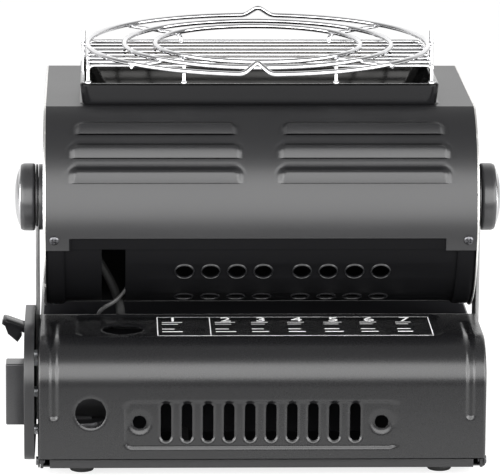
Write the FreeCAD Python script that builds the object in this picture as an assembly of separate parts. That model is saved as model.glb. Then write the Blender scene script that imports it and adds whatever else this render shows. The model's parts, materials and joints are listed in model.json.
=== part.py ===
import FreeCAD, Part
import math
import os

V = FreeCAD.Vector
os.makedirs("parts", exist_ok=True)

# Driving dimensions in millimetres. X runs along the casing, Y from the lid's face to the back, Z up.

# Base casing and lid
SHEET = 1.0                 # steel sheet of the casings
THIN_SHEET = 0.8            # reflector, louvre hoods and small pressings
CASE_WIDTH = 262.0
BASE_DEPTH = 225.0
FOOT_HEIGHT = 6.0
FOOT_RADIUS = 8.0
FOOT_SPACING_X = 211.0
FOOT_INSET = 20.0
LID_HEIGHT = 75.0
LID_DEPTH = 76.0
LID_CORNER = 26.0
LID_REAR_BEND = 3.0
LID_REAR_FLANGE = 9.0
LID_END_FLANGE = 12.0
LID_FRONT_GAP = 0.8
LIP_HEIGHT = 5.0
LIP_CLEARANCE = 0.3
HINGE_SETBACK = 9.0
HINGE_RISE = 2.5
HINGE_PIN_RADIUS = 2.0
HINGE_EAR_RADIUS = 4.0
RUNNING_FIT = 0.05
END_PLATE_INSET = 1.4
END_PLATE_CLEARANCE = 1.2
DECK_HEIGHT = 66.0
REAR_GAP = 1.0
REAR_BEND = 6.0

# Pressings in the lid's face and top
RECESS_CENTRE_X = -0.9
RECESS_WIDTH = 160.0
RECESS_LOW = 11.4
RECESS_HEIGHT = 29.6
RECESS_CORNER = 5.0
RECESS_DEPTH = 1.2
SLOT_COUNT = 10
SLOT_PITCH = 12.3
SLOT_WIDTH = 6.2
SLOT_LENGTH = 22.4
SLOT_CENTRE_Z = 27.5
DIMPLE_HOLE_RADIUS = 4.0
DIMPLE_SPACING = 141.5
VALVE_HOLE_X = -100.2
VALVE_HOLE_Z = 33.3
VALVE_HOLE_RADIUS = 9.0
GUIDE_HOLE_X = -81.4
GUIDE_HOLE_RADIUS = 12.0
TOP_RECESS_LEFT = -109.0
TOP_RECESS_RIGHT = 107.5
TOP_RECESS_FRONT = 20.5
TOP_RECESS_DEPTH = 1.0

# Cartridge, regulator and controls
CARTRIDGE_RADIUS = 34.0
CARTRIDGE_Y = 41.0
CARTRIDGE_Z = 42.0
CARTRIDGE_CLEARANCE = 0.5
REGULATOR_RADIUS = 15.0
REGULATOR_LENGTH = 38.0
REGULATOR_FLANGE = 2.6
REGULATOR_PAD_TOP = 58.7
OUTLET_X = -96.0
OUTLET_RADIUS = 3.2
NOZZLE_RADIUS = 4.0
NOZZLE_LENGTH = 20.0
LOCK_PLATE = 2.0
PUSH_BAR = 3.0
PUSH_BAR_WIDTH = 10.0
SHAFT_RADIUS = 3.0
GAS_KNOB_HEIGHT = 37.0
GAS_KNOB_DEPTH = 15.0
GAS_KNOB_LENGTH = 11.0
GAS_KNOB_EDGE = 1.0
GAS_KNOB_GAP = 0.3
PANEL_DEPTH = 6.0
PANEL_FRONT = 0.0
PANEL_BACK = 84.0
PANEL_LOW = 10.0
PANEL_HIGH = 86.0
PANEL_CORNER = 8.0
PANEL_CROWN = 33.0
LEVER_HEIGHT = 80.0
LEVER_WIDTH = 15.0
LEVER_REACH = 17.5
LEVER_THICK = 3.2
LEVER_INSET = 3.5
LEVER_ARM = 20.5
LEVER_RISE_DEG = 20.0
LEVER_CHEEK = 1.6
LEVER_HALF = 1.25
LEVER_GAP = 0.45
IGNITER_RADIUS = 7.0

# Arms and tilting head
ARM_SHEET = 2.0
ARM_WIDTH = 24.0
ARM_LOW = 14.0
ARM_ROUND = 13.0
PIVOT_BACK = 93.0
HEAD_GAP = 2.6
HEAD_RADIUS = 65.0
HEAD_WIDTH = 254.8
FACE_RISE = 60.0
FACE_BACK = 109.0
REAR_LIP = 25.0
SHELL_EDGE_DEG = 10.7
JOGGLE_EDGE_DEG = 17.0
JOGGLE_STEP = 1.7
SIDE_STRIP = 12.0
STRIP_END_DEG = 88.0
AIR_PANEL_DROP = 2.8
AIR_PANEL_TOP_DEG = 13.0
AIR_PANEL_END_DEG = 92.0
AIR_HOLE_RADIUS = 5.0
AIR_HOLE_PITCH = 15.5
AIR_BANKS_X = (-45.0, 24.3)
AIR_HOLES_PER_BANK = 4
AIR_ROWS_DEG = (33.0, 60.0)
HOSE_SLOT_X = -86.7
HOSE_SLOT_WIDTH = 14.0
LOUVRE_LENGTH = 102.0
LOUVRE_CENTRE = 61.0
LOUVRE_TOPS_DEG = (28.0, 41.2, 55.0)
LOUVRE_SWEEP_DEG = 9.0
LOUVRE_PROUD = 3.0
BACK_SLOT_COUNT = 6
BACK_SLOT_LENGTH = 30.0
BACK_SLOT_WIDTH = 5.0
SCREW_HEAD_RADIUS = 2.75
SCREW_HEAD = 1.6
SCREW_RADIUS = 1.5
SCREW_LENGTH = 5.0
SCREW_HOLE_CLEARANCE = 0.3

# Reflector, burner and grills
RIM_WIDTH = 212.0
RIM_DEPTH = 85.0
RIM_HEIGHT = 12.8
RIM_DRAFT = 3.0
RIM_CORNER = 5.0
RIM_FLANGE = 2.5
RIM_SETBACK = 0.5
DISH_DEPTH = 15.0
DISH_FLOOR_WIDTH = 176.0
DISH_FLOOR_DEPTH = 62.0
PLAQUE_WIDTH = 164.0
PLAQUE_DEPTH = 50.0
PLAQUE_THICK = 13.0
BOX_WALL = 3.0
BURNER_BOX_HEIGHT = 34.0
MIX_TUBE_RADIUS = 9.0
MIX_TUBE_LENGTH = 96.0
MIX_TUBE_DROP = 12.0
MIX_MOUTH = 8.0
INJECTOR_RADIUS = 5.0
INJECTOR_LENGTH = 6.0
GRILL_WIRE = 1.1
GRILL_BARS = 8
GRILL_RISE = 10.8
GRILL_HALF_WIDTH = 101.5
RING_WIRE = 1.5
RING_BEND = 1.6              # bulge where a wire is bent sharply
RING_RADII = (102.0, 80.0, 61.5)
RING_RISE = 16.7
RING_LEG_X = 45.0
PEAK_HALF_WIDTH = 8.0
PEAK_RISE = 6.2
PEAK_LEAN = 6.5
STOP_RISE = 8.0
RADIAL_OVERHANG = 1.5

# Lock knobs
KNOB_RADIUS = 20.2
KNOB_LENGTH = 8.7
KNOB_EDGE = 1.5
KNOB_CAP_RADIUS = 17.5
KNOB_CAP_RISE = 3.5
KNOB_CLEARANCE = 0.3
STUD_RADIUS = 3.0
STUD_REACH = 14.0
BUSH_RADIUS = 9.0

# Flexible hose and igniter lead
HOSE_RADIUS = 2.7
LEAD_RADIUS = 1.2
GROMMET_RADIUS = 6.0
GROMMET_LIP = 1.5
HOSE_X = -82.0
HOSE_DECK_Y = 89.0
HOSE_START_Y = 66.0
LEAD_X = -97.0
LEAD_DECK_Y = 92.0
LEAD_Y = 66.5
LEAD_Z = 24.0
LEAD_START_X = -112.0
ELECTRODE_X = -64.0
SENSOR_X = -40.0
PROBE_RADIUS = 2.0
PROBE_GAP = 0.3
PROBE_SEAT = 6.0

# Worked-out places
HALF_CASE = CASE_WIDTH / 2
BASE_LOW = FOOT_HEIGHT
FLOOR_TOP = BASE_LOW + SHEET
LID_TOP = BASE_LOW + LID_HEIGHT
DECK_TOP = BASE_LOW + DECK_HEIGHT
HINGE_Y = HINGE_SETBACK
HINGE_Z = BASE_LOW + HINGE_RISE
REAR_FRONT = LID_DEPTH + REAR_GAP
END_PLATE_OUT = HALF_CASE - END_PLATE_INSET
PIVOT_Z = LID_TOP + HEAD_GAP + HEAD_RADIUS
PIVOT = V(0, PIVOT_BACK, PIVOT_Z)
FACE_Z = PIVOT_Z + FACE_RISE
HALF_HEAD = HEAD_WIDTH / 2
HEAD_INSIDE = HALF_HEAD - SHEET
ARM_OUT = HALF_CASE + ARM_SHEET
FOLD_Y = PIVOT_BACK - math.sqrt(HEAD_RADIUS**2 - FACE_RISE**2)
RIM_Y = FOLD_Y + RIM_SETBACK + RIM_DRAFT + RIM_DEPTH / 2
RIM_TOP = FACE_Z + RIM_HEIGHT
DISH_FLOOR_Z = FACE_Z - DISH_DEPTH
GRILL_Z = RIM_TOP + GRILL_RISE
RING_Z = RIM_TOP + RING_RISE
KNOB_IN = ARM_OUT + KNOB_CLEARANCE
KNOB_OUT = KNOB_IN + KNOB_LENGTH
PANEL_OUT = ARM_OUT + PANEL_DEPTH
LEVER_PIVOT_X = -(PANEL_OUT - LEVER_INSET)
LEVER_RISE = math.radians(LEVER_RISE_DEG)
LEFT_REACH = LEVER_REACH * math.cos(LEVER_RISE) + LEVER_THICK / 2 * math.sin(LEVER_RISE) - LEVER_PIVOT_X
RIGHT_REACH = KNOB_OUT + KNOB_CAP_RISE
SHIFT = V((LEFT_REACH - RIGHT_REACH) / 2, -BASE_DEPTH / 2, 0)
REGULATOR_LEFT = -(END_PLATE_OUT - SHEET)
REGULATOR_RIGHT = REGULATOR_LEFT + REGULATOR_FLANGE + REGULATOR_LENGTH
DIAPHRAGM_TOP = CARTRIDGE_Z - REGULATOR_RADIUS - 0.4
PUSH_BAR_TIP = LEVER_PIVOT_X + LEVER_HALF + LEVER_GAP
PLAQUE_TOP = DISH_FLOOR_Z - THIN_SHEET
BOX_HALF_X = PLAQUE_WIDTH / 2 + BOX_WALL
BOX_HALF_Y = PLAQUE_DEPTH / 2 + BOX_WALL
BOX_LOW = PLAQUE_TOP - BURNER_BOX_HEIGHT
MIX_Z = BOX_LOW - MIX_TUBE_DROP
INJECTOR_X = -(MIX_TUBE_LENGTH + MIX_MOUTH)
INJECTOR_SEAT = INJECTOR_X - INJECTOR_LENGTH
GUARD_HALF_DEPTH = RIM_DEPTH / 2 - RIM_FLANGE / 2
ELECTRODE_Y = RIM_Y + BOX_HALF_Y + PROBE_RADIUS + 0.4
PROBE_LOW = BOX_LOW + PROBE_SEAT
ARM_SCREWS = ((PIVOT_BACK - 6, 46.0), (PIVOT_BACK + 6, 46.0), (PIVOT_BACK, 62.0))
X_AXIS = V(1, 0, 0)
Y_AXIS = V(0, 1, 0)
Z_AXIS = V(0, 0, 1)


def box(x0, x1, y0, y1, z0, z1):
    return Part.makeBox(x1 - x0, y1 - y0, z1 - z0, V(x0, y0, z0))


def rod(start, end, radius):
    run = end - start
    return Part.makeCylinder(radius, run.Length, start, run)


def fused(shapes):
    first, rest = shapes[0], shapes[1:]
    return first.multiFuse(rest).removeSplitter() if rest else first


def without(shape, cutters):
    for cutter in cutters:
        shape = shape.cut(cutter)
    return shape


def mirrored(shape):
    return shape.mirror(V(0, 0, 0), X_AXIS)


def at_angle(radius, degrees, x=0.0):
    """Point at a radius from the tilt axis, in degrees above the level, on the front side."""
    a = math.radians(degrees)
    return V(x, PIVOT_BACK - radius * math.cos(a), PIVOT_Z + radius * math.sin(a))


def slab(points, x0, x1):
    """Polygon of (y, z) points drawn out along X."""
    ring = [V(x0, y, z) for y, z in points]
    return Part.Face(Part.makePolygon(ring + ring[:1])).extrude(V(x1 - x0, 0, 0))


def sector(inner, outer, low_deg, high_deg, x0, x1):
    """Piece of a tube wall about the tilt axis, between two angles on the front side."""
    middle = (low_deg + high_deg) / 2
    edges = [
        Part.Arc(at_angle(outer, low_deg, x0), at_angle(outer, middle, x0),
                 at_angle(outer, high_deg, x0)).toShape(),
        Part.LineSegment(at_angle(outer, high_deg, x0), at_angle(inner, high_deg, x0)).toShape(),
        Part.Arc(at_angle(inner, high_deg, x0), at_angle(inner, middle, x0),
                 at_angle(inner, low_deg, x0)).toShape(),
        Part.LineSegment(at_angle(inner, low_deg, x0), at_angle(outer, low_deg, x0)).toShape(),
    ]
    return Part.Face(Part.Wire(edges)).extrude(V(x1 - x0, 0, 0))


def round_rect(centre, width, depth, corner, z):
    """Wire of a rectangle with round corners, flat at height z."""
    hx, hy = width / 2, depth / 2
    k = corner * (1 - math.sqrt(0.5))
    edges = []
    corners = [(1, -1), (1, 1), (-1, 1), (-1, -1)]
    for sx, sy in corners:
        on_long, on_short = (sx * (hx - corner), sy * hy), (sx * hx, sy * (hy - corner))
        first, last = (on_short, on_long) if sx * sy > 0 else (on_long, on_short)
        middle = (sx * (hx - k), sy * (hy - k))
        p, q, r = [V(centre[0] + a, centre[1] + b, z) for a, b in (first, middle, last)]
        if edges:
            edges.append(Part.LineSegment(edges[-1].Vertexes[-1].Point, p).toShape())
        edges.append(Part.Arc(p, q, r).toShape())
    edges.append(Part.LineSegment(edges[-1].Vertexes[-1].Point, edges[0].Vertexes[0].Point).toShape())
    return Part.Wire(edges)


def frustum(centre, low, high, z0, z1):
    """Solid between two round rectangles, each given as width, depth and corner."""
    return Part.makeLoft([round_rect(centre, *low, z0), round_rect(centre, *high, z1)], True, True)


def tube_path(points, radius):
    """Tube of straight runs joined by tangent arcs, each as large as its two runs allow."""
    edges = []
    start = points[0]
    radii = []
    for i in range(1, len(points) - 1):
        before = points[i] - points[i - 1]
        after = points[i + 1] - points[i]
        turn = before.getAngle(after)
        shorter = min(before.Length, after.Length)
        arc_radius = 0.45 * shorter / math.tan(turn / 2)
        radii.append(arc_radius)
        back = 0.45 * shorter
        p = points[i] - before.normalize() * back
        q = points[i] + after.normalize() * back
        inward = (after - before).normalize()
        sag = arc_radius / math.cos(turn / 2) - arc_radius
        edges.append(Part.LineSegment(start, p).toShape())
        edges.append(Part.Arc(p, points[i] + inward * sag, q).toShape())
        start = q
    edges.append(Part.LineSegment(start, points[-1]).toShape())
    path = Part.Wire(edges)
    section = Part.Wire(Part.makeCircle(radius, points[0], points[1] - points[0]))
    solid = path.makePipeShell([section], True, True)
    ideal = path.Length * math.pi * radius**2
    print("tube length %.1f, volume ratio %.4f, radii" % (path.Length, solid.Volume / ideal),
          [round(r, 1) for r in radii])
    return solid


def save(node, shape):
    placed = shape.copy()
    placed.translate(SHIFT)
    if not placed.isValid():
        print("NOT VALID", node)
    placed.exportStep("parts/%s.step" % node)
    print("%-24s solids %d volume %.1f" % (node, len(placed.Solids), placed.Volume))


# Base casing

def pan():
    floor = box(-END_PLATE_OUT, END_PLATE_OUT, SHEET + LIP_CLEARANCE, BASE_DEPTH - SHEET, BASE_LOW, FLOOR_TOP)
    wide = HALF_CASE - SHEET
    floor = floor.fuse(box(-wide, wide, REAR_FRONT, BASE_DEPTH - SHEET, BASE_LOW, FLOOR_TOP))
    lip_y = SHEET + LIP_CLEARANCE
    lip = box(-END_PLATE_OUT, END_PLATE_OUT, lip_y, lip_y + SHEET, BASE_LOW, BASE_LOW + LIP_HEIGHT)
    notch = [box(s * 126.0 - 1.9, s * 126.0 + 1.9, lip_y - 1, lip_y + 3, BASE_LOW - 1, BASE_LOW + LIP_HEIGHT + 1)
             for s in (-1, 1)]
    vents = [box(x - 12, x + 12, 150, 156, BASE_LOW - 1, FLOOR_TOP + 1) for x in (-60, -20, 20, 60)]
    return without(floor.fuse(lip).removeSplitter(), notch + vents)


def feet():
    shapes = []
    for x in (-FOOT_SPACING_X / 2, FOOT_SPACING_X / 2):
        for y in (FOOT_INSET, BASE_DEPTH - FOOT_INSET):
            shapes.append(Part.makeCone(FOOT_RADIUS - 1, FOOT_RADIUS, FOOT_HEIGHT, V(x, y, 0)))
    return Part.makeCompound(shapes)


def rear_block(inset, drop):
    back = BASE_DEPTH - inset
    half = HALF_CASE - inset
    solid = box(-half, half, REAR_FRONT, back, BASE_LOW - drop, DECK_TOP - inset)
    edges = [e for e in solid.Edges
             if abs(e.CenterOfMass.z - (DECK_TOP - inset)) < 0.01 and e.CenterOfMass.y > REAR_FRONT + 1]
    return solid.makeFillet(REAR_BEND - inset, edges)


def rear_housing():
    shell = rear_block(0, 0).cut(rear_block(SHEET, 1))
    hose_hole = rod(V(HOSE_X, HOSE_DECK_Y, DECK_TOP - 5), V(HOSE_X, HOSE_DECK_Y, DECK_TOP + 5), GROMMET_RADIUS)
    lead_hole = rod(V(LEAD_X, LEAD_DECK_Y, DECK_TOP - 5), V(LEAD_X, LEAD_DECK_Y, DECK_TOP + 5), LEAD_RADIUS + 1)
    slots = [box(x - 14, x + 14, BASE_DEPTH - 3, BASE_DEPTH + 1, z, z + 4)
             for x in (-76, -38, 0, 38, 76) for z in (28, 38, 48)]
    return without(shell, [hose_hole, lead_hole] + slots)


def divider():
    y = REAR_FRONT
    wall = rear_block(SHEET, 0).common(box(-HALF_CASE, HALF_CASE, y, y + SHEET, FLOOR_TOP, DECK_TOP))
    hose_hole = rod(V(OUTLET_X, y - 2, CARTRIDGE_Z), V(OUTLET_X, y + 3, CARTRIDGE_Z), HOSE_RADIUS + 2)
    lead_hole = rod(V(LEAD_START_X, y - 2, LEAD_Z), V(LEAD_START_X, y + 3, LEAD_Z), LEAD_RADIUS + 2)
    return without(wall, [hose_hole, lead_hole])


def end_plate():
    """Right-hand end plate; the left one is its mirror image with openings for the controls."""
    front = SHEET + END_PLATE_CLEARANCE
    top = LID_TOP - SHEET - END_PLATE_CLEARANCE
    corner = LID_CORNER - SHEET - END_PLATE_CLEARANCE
    x0 = END_PLATE_OUT - SHEET
    k = corner * (1 - math.sqrt(0.5))
    low_front = front + SHEET + LIP_CLEARANCE
    corners = [V(x0, low_front, FLOOR_TOP), V(x0, low_front, BASE_LOW + LIP_HEIGHT + 1),
               V(x0, front, BASE_LOW + LIP_HEIGHT + 1), V(x0, front, top - corner)]
    edges = [Part.LineSegment(a, b).toShape() for a, b in zip(corners, corners[1:])]
    bend_end = V(x0, front + corner, top)
    edges.append(Part.Arc(corners[-1], V(x0, front + k, top - k), bend_end).toShape())
    rear_y = REAR_FRONT
    tail = [bend_end, V(x0, rear_y - LID_REAR_BEND, top), V(x0, rear_y, DECK_TOP), V(x0, rear_y, FLOOR_TOP),
            corners[0]]
    edges += [Part.LineSegment(a, b).toShape() for a, b in zip(tail, tail[1:])]
    plate = Part.Face(Part.Wire(edges)).extrude(V(SHEET, 0, 0))
    rear_cut = box(x0 - 1, x0 + 3, LID_DEPTH - SHEET - 1.0, rear_y + 1, LID_TOP - LID_REAR_FLANGE - 3, LID_TOP)
    pin_hole = rod(V(x0 - 1, HINGE_Y, HINGE_Z), V(x0 + 3, HINGE_Y, HINGE_Z), HINGE_PIN_RADIUS)
    return without(plate, [rear_cut, pin_hole])


def left_end_plate():
    plate = mirrored(end_plate())
    shaft = rod(V(-HALF_CASE, CARTRIDGE_Y, CARTRIDGE_Z), V(-HALF_CASE + 5, CARTRIDGE_Y, CARTRIDGE_Z),
                SHAFT_RADIUS + 1)
    half = PUSH_BAR_WIDTH / 2 + 1
    window = box(-HALF_CASE, -HALF_CASE + 5, CARTRIDGE_Y - half, CARTRIDGE_Y + half,
                 REGULATOR_PAD_TOP - 1, LEVER_HEIGHT - LEVER_ARM + 8)
    return without(plate, [shaft, window])


def hinge_pins():
    x0 = END_PLATE_OUT - SHEET
    pin = rod(V(x0 - 1.5, HINGE_Y, HINGE_Z), V(HALF_CASE + RUNNING_FIT, HINGE_Y, HINGE_Z), HINGE_PIN_RADIUS)
    inner = rod(V(x0 - 1.5, HINGE_Y, HINGE_Z), V(x0, HINGE_Y, HINGE_Z), HINGE_PIN_RADIUS + 1)
    outer = rod(V(HALF_CASE + RUNNING_FIT, HINGE_Y, HINGE_Z), V(HALF_CASE + 1.2, HINGE_Y, HINGE_Z),
                HINGE_PIN_RADIUS + 0.5)
    inner = inner.cut(box(0, 200, 0, 50, 0, FLOOR_TOP))
    pin = pin.cut(box(0, END_PLATE_OUT, 0, 50, 0, FLOOR_TOP))
    right = fused([pin, inner, outer])
    return Part.makeCompound([right, mirrored(right)])


def arm(side):
    """Upright bracket that carries the head's pivot; side is 1 for the right and -1 for the left."""
    y0, y1 = PIVOT_BACK - ARM_WIDTH / 2, PIVOT_BACK + ARM_WIDTH / 2
    blade = box(HALF_CASE, ARM_OUT, y0, y1, ARM_LOW, PIVOT_Z)
    tip = rod(V(HALF_CASE, PIVOT_BACK, PIVOT_Z), V(ARM_OUT, PIVOT_BACK, PIVOT_Z), ARM_WIDTH / 2)
    hole = rod(V(HALF_CASE - 1, PIVOT_BACK, PIVOT_Z), V(ARM_OUT + 1, PIVOT_BACK, PIVOT_Z),
               STUD_RADIUS + RUNNING_FIT)
    bracket = blade.fuse(tip).removeSplitter().cut(hole)
    for y, z in ARM_SCREWS:
        bracket = bracket.cut(rod(V(HALF_CASE - 1, y, z), V(ARM_OUT + 1, y, z), SCREW_RADIUS))
    return bracket if side > 0 else mirrored(bracket)


def arm_screws():
    shapes = []
    for y, z in ARM_SCREWS:
        head = rod(V(ARM_OUT, y, z), V(ARM_OUT + SCREW_HEAD, y, z), SCREW_HEAD_RADIUS)
        shank = rod(V(HALF_CASE, y, z), V(ARM_OUT, y, z), SCREW_RADIUS - RUNNING_FIT)
        screw = head.fuse(shank).removeSplitter()
        shapes += [screw, mirrored(screw)]
    return Part.makeCompound(shapes)


# Lid over the cartridge

def lid_outline(inset):
    """Closed (y, z) wire of the lid's side view, drawn in by inset."""
    front, top, back = inset, LID_TOP - inset, LID_DEPTH - inset
    corner = LID_CORNER - inset
    bend = LID_REAR_BEND - min(inset, SHEET)
    low_front = BASE_LOW + LIP_HEIGHT + LID_FRONT_GAP
    low_back = LID_TOP - LID_REAR_FLANGE
    k, m = corner * (1 - math.sqrt(0.5)), bend * (1 - math.sqrt(0.5))
    x = -HALF_CASE
    a, b = V(x, front, low_front), V(x, front, top - corner)
    c, d = V(x, front + corner, top), V(x, back - bend, top)
    e, f = V(x, back, top - bend), V(x, back, low_back)
    return [Part.LineSegment(a, b).toShape(), Part.Arc(b, V(x, front + k, top - k), c).toShape(),
            Part.LineSegment(c, d).toShape(), Part.Arc(d, V(x, back - m, top - m), e).toShape(),
            Part.LineSegment(e, f).toShape()], a, f


def lid_block(inset):
    edges, first, last = lid_outline(inset)
    edges.append(Part.LineSegment(last, first).toShape())
    return Part.Face(Part.Wire(edges)).extrude(V(CASE_WIDTH, 0, 0))


def lid_sheet():
    outer, a, f = lid_outline(0)
    inner, b, e = lid_outline(SHEET)
    edges = outer + [Part.LineSegment(f, e).toShape()] + inner + [Part.LineSegment(b, a).toShape()]
    return Part.Face(Part.Wire(Part.__sortEdges__(edges))).extrude(V(CASE_WIDTH, 0, 0))


def lid_flange():
    """Turned-in edge at the right-hand end, with the hinge ear at its foot."""
    x0, x1 = HALF_CASE - SHEET, HALF_CASE
    keep = box(x0, x1, 0, LID_DEPTH, 0, LID_TOP)
    flange = lid_block(SHEET).cut(lid_block(LID_END_FLANGE)).common(keep)
    flange = flange.cut(slab([(LID_END_FLANGE, 0), (LID_DEPTH, 0), (LID_DEPTH, LID_TOP - LID_END_FLANGE),
                              (LID_END_FLANGE, LID_TOP - LID_END_FLANGE)], x0 - 1, x1 + 1))
    tab = box(x0, x1, SHEET, HINGE_Y + HINGE_EAR_RADIUS, HINGE_Z, BASE_LOW + LIP_HEIGHT + LID_END_FLANGE)
    ear = rod(V(x0, HINGE_Y, HINGE_Z), V(x1, HINGE_Y, HINGE_Z), HINGE_EAR_RADIUS)
    hole = rod(V(x0 - 1, HINGE_Y, HINGE_Z), V(x1 + 1, HINGE_Y, HINGE_Z), HINGE_PIN_RADIUS + RUNNING_FIT)
    return flange.fuse(tab).fuse(ear).cut(hole)


def upright_slot(x, z, width, length, y0, y1):
    half = (length - width) / 2
    low, high = V(x, y0, z - half), V(x, y0, z + half)
    run = V(0, y1 - y0, 0)
    ends = [rod(p, p + run, width / 2) for p in (low, high)]
    return fused(ends + [box(x - width / 2, x + width / 2, y0, y1, z - half, z + half)])


def lid():
    shell = lid_sheet()
    right = lid_flange()
    shell = fused([shell, right, mirrored(right)])
    # Recessed field with its slots on the face
    low = BASE_LOW + RECESS_LOW
    wall = THIN_SHEET
    field_mid = (RECESS_CENTRE_X, low + RECESS_HEIGHT / 2)

    def field(grow, y0, y1):
        wire = round_rect(field_mid, RECESS_WIDTH + 2 * grow, RECESS_HEIGHT + 2 * grow, RECESS_CORNER + grow, 0)
        solid = Part.Face(wire).extrude(V(0, 0, y1 - y0))
        solid.rotate(V(0, 0, 0), X_AXIS, 90)
        solid.translate(V(0, y1, 0))
        return solid
    shell = shell.fuse(field(wall, SHEET, SHEET + RECESS_DEPTH)).cut(field(0, -1, RECESS_DEPTH))
    through = (-1, SHEET + RECESS_DEPTH + 1)
    cuts = [upright_slot(RECESS_CENTRE_X + (i - (SLOT_COUNT - 1) / 2) * SLOT_PITCH, BASE_LOW + SLOT_CENTRE_Z,
                         SLOT_WIDTH, SLOT_LENGTH, *through) for i in range(SLOT_COUNT)]
    for s in (-1, 1):
        spot = V(RECESS_CENTRE_X + s * DIMPLE_SPACING / 2, -1, BASE_LOW + SLOT_CENTRE_Z)
        cuts.append(rod(spot, spot + V(0, 6, 0), DIMPLE_HOLE_RADIUS))
    valve = V(VALVE_HOLE_X, -1, BASE_LOW + VALVE_HOLE_Z)
    cuts.append(rod(valve, valve + V(0, 5, 0), VALVE_HOLE_RADIUS))
    # Recessed field on the top and the round hole that shows the cartridge's notch
    floor_z = LID_TOP - TOP_RECESS_DEPTH
    back = LID_DEPTH - LID_REAR_BEND - wall
    under = box(TOP_RECESS_LEFT - wall, TOP_RECESS_RIGHT + wall, TOP_RECESS_FRONT, back + wall - 0.1,
                floor_z - SHEET, LID_TOP - SHEET / 2).common(lid_block(0))
    shell = shell.fuse(under)
    cuts.append(box(TOP_RECESS_LEFT, TOP_RECESS_RIGHT, TOP_RECESS_FRONT, back, floor_z, LID_TOP + 1))
    guide = V(GUIDE_HOLE_X, CARTRIDGE_Y, LID_TOP - 6)
    cuts.append(rod(guide, guide + V(0, 0, 9), GUIDE_HOLE_RADIUS))
    return without(shell, cuts).removeSplitter()


# Cartridge bay

def cradle():
    saddles = []
    for x in (-52.0, 92.0):
        block = box(x, x + 10, CARTRIDGE_Y - 20, CARTRIDGE_Y + 20, FLOOR_TOP, FLOOR_TOP + 7)
        bed = rod(V(x - 1, CARTRIDGE_Y, CARTRIDGE_Z), V(x + 11, CARTRIDGE_Y, CARTRIDGE_Z),
                  CARTRIDGE_RADIUS + CARTRIDGE_CLEARANCE)
        saddles += block.cut(bed).Solids
    return Part.makeCompound(saddles)


def on_axis(x):
    return V(x, CARTRIDGE_Y, CARTRIDGE_Z)


def regulator():
    flange = rod(on_axis(REGULATOR_LEFT), on_axis(REGULATOR_LEFT + REGULATOR_FLANGE), REGULATOR_RADIUS + 1.5)
    barrel = rod(on_axis(REGULATOR_LEFT + REGULATOR_FLANGE), on_axis(REGULATOR_RIGHT), REGULATOR_RADIUS)
    pad = box(REGULATOR_LEFT + 6, REGULATOR_RIGHT - 3, CARTRIDGE_Y - 8, CARTRIDGE_Y + 8,
              CARTRIDGE_Z, REGULATOR_PAD_TOP)
    neck = box(REGULATOR_LEFT + 13, REGULATOR_LEFT + 29, CARTRIDGE_Y - 6, CARTRIDGE_Y + 6,
               DIAPHRAGM_TOP, CARTRIDGE_Z - REGULATOR_RADIUS + 4)
    outlet = rod(V(OUTLET_X, CARTRIDGE_Y, CARTRIDGE_Z), V(OUTLET_X, HOSE_START_Y, CARTRIDGE_Z), OUTLET_RADIUS)
    body = fused([flange, barrel, pad, neck, outlet])
    shaft_bore = rod(on_axis(REGULATOR_LEFT - 1), on_axis(REGULATOR_LEFT + 10), SHAFT_RADIUS + RUNNING_FIT)
    nozzle_bore = rod(on_axis(REGULATOR_RIGHT - 14), on_axis(REGULATOR_RIGHT + 1), NOZZLE_RADIUS + RUNNING_FIT)
    return without(body, [shaft_bore, nozzle_bore])


def diaphragm_cover():
    centre = V(REGULATOR_LEFT + 21, CARTRIDGE_Y, DIAPHRAGM_TOP)
    disc = rod(centre - V(0, 0, 5), centre, REGULATOR_RADIUS + 2)
    dome = Part.makeCone(REGULATOR_RADIUS - 4, REGULATOR_RADIUS, 4, centre - V(0, 0, 9))
    return disc.fuse(dome).removeSplitter()


def igniter():
    x0 = REGULATOR_LEFT
    y, z = LEAD_Y, LEAD_Z
    case = rod(V(x0, y, z), V(x0 + 22, y, z), IGNITER_RADIUS)
    nose = rod(V(x0 + 22, y, z), V(x0 + 26, y, z), IGNITER_RADIUS - 2.5)
    spout = rod(V(LEAD_START_X, y, z), V(LEAD_START_X, y + IGNITER_RADIUS + 2, z), LEAD_RADIUS + 0.8)
    return fused([case, nose, spout])


def nozzle():
    left = REGULATOR_RIGHT - 12
    tube = rod(on_axis(left), on_axis(left + NOZZLE_LENGTH), NOZZLE_RADIUS)
    bore = rod(on_axis(left - 1), on_axis(left + NOZZLE_LENGTH + 1), NOZZLE_RADIUS - 2)
    return tube.cut(bore)


def lock_plate():
    """Push bar and plate that carry the nozzle onto the cartridge when the lever is pressed."""
    x = REGULATOR_RIGHT + 3
    low = REGULATOR_PAD_TOP + 0.3
    half = PUSH_BAR_WIDTH / 2
    bar = box(PUSH_BAR_TIP, x + LOCK_PLATE, CARTRIDGE_Y - half, CARTRIDGE_Y + half, low, low + PUSH_BAR)
    plate = box(x, x + LOCK_PLATE, CARTRIDGE_Y - 12, CARTRIDGE_Y + 12, CARTRIDGE_Z - 10, low + PUSH_BAR)
    hole = rod(on_axis(x - 1), on_axis(x + LOCK_PLATE + 1), NOZZLE_RADIUS + 0.02)
    return bar.fuse(plate).removeSplitter().cut(hole)


# Controls on the left

def long_edges(solid):
    return [e for e in solid.Edges if e.BoundBox.XLength > PANEL_DEPTH / 2]


def crown_edge(solid):
    return min(long_edges(solid), key=lambda e: e.CenterOfMass.y - e.CenterOfMass.z)


def panel_block(inset):
    x0, x1 = -PANEL_OUT + inset, -ARM_OUT + (1 if inset else 0)
    solid = box(x0, x1, PANEL_FRONT + inset, PANEL_BACK - inset, PANEL_LOW + inset, PANEL_HIGH - inset)
    crown = crown_edge(solid)
    solid = solid.makeFillet(PANEL_CORNER - inset, [e for e in long_edges(solid) if not e.isSame(crown)])
    return solid.makeFillet(PANEL_CROWN - inset, [crown_edge(solid)])


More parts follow.
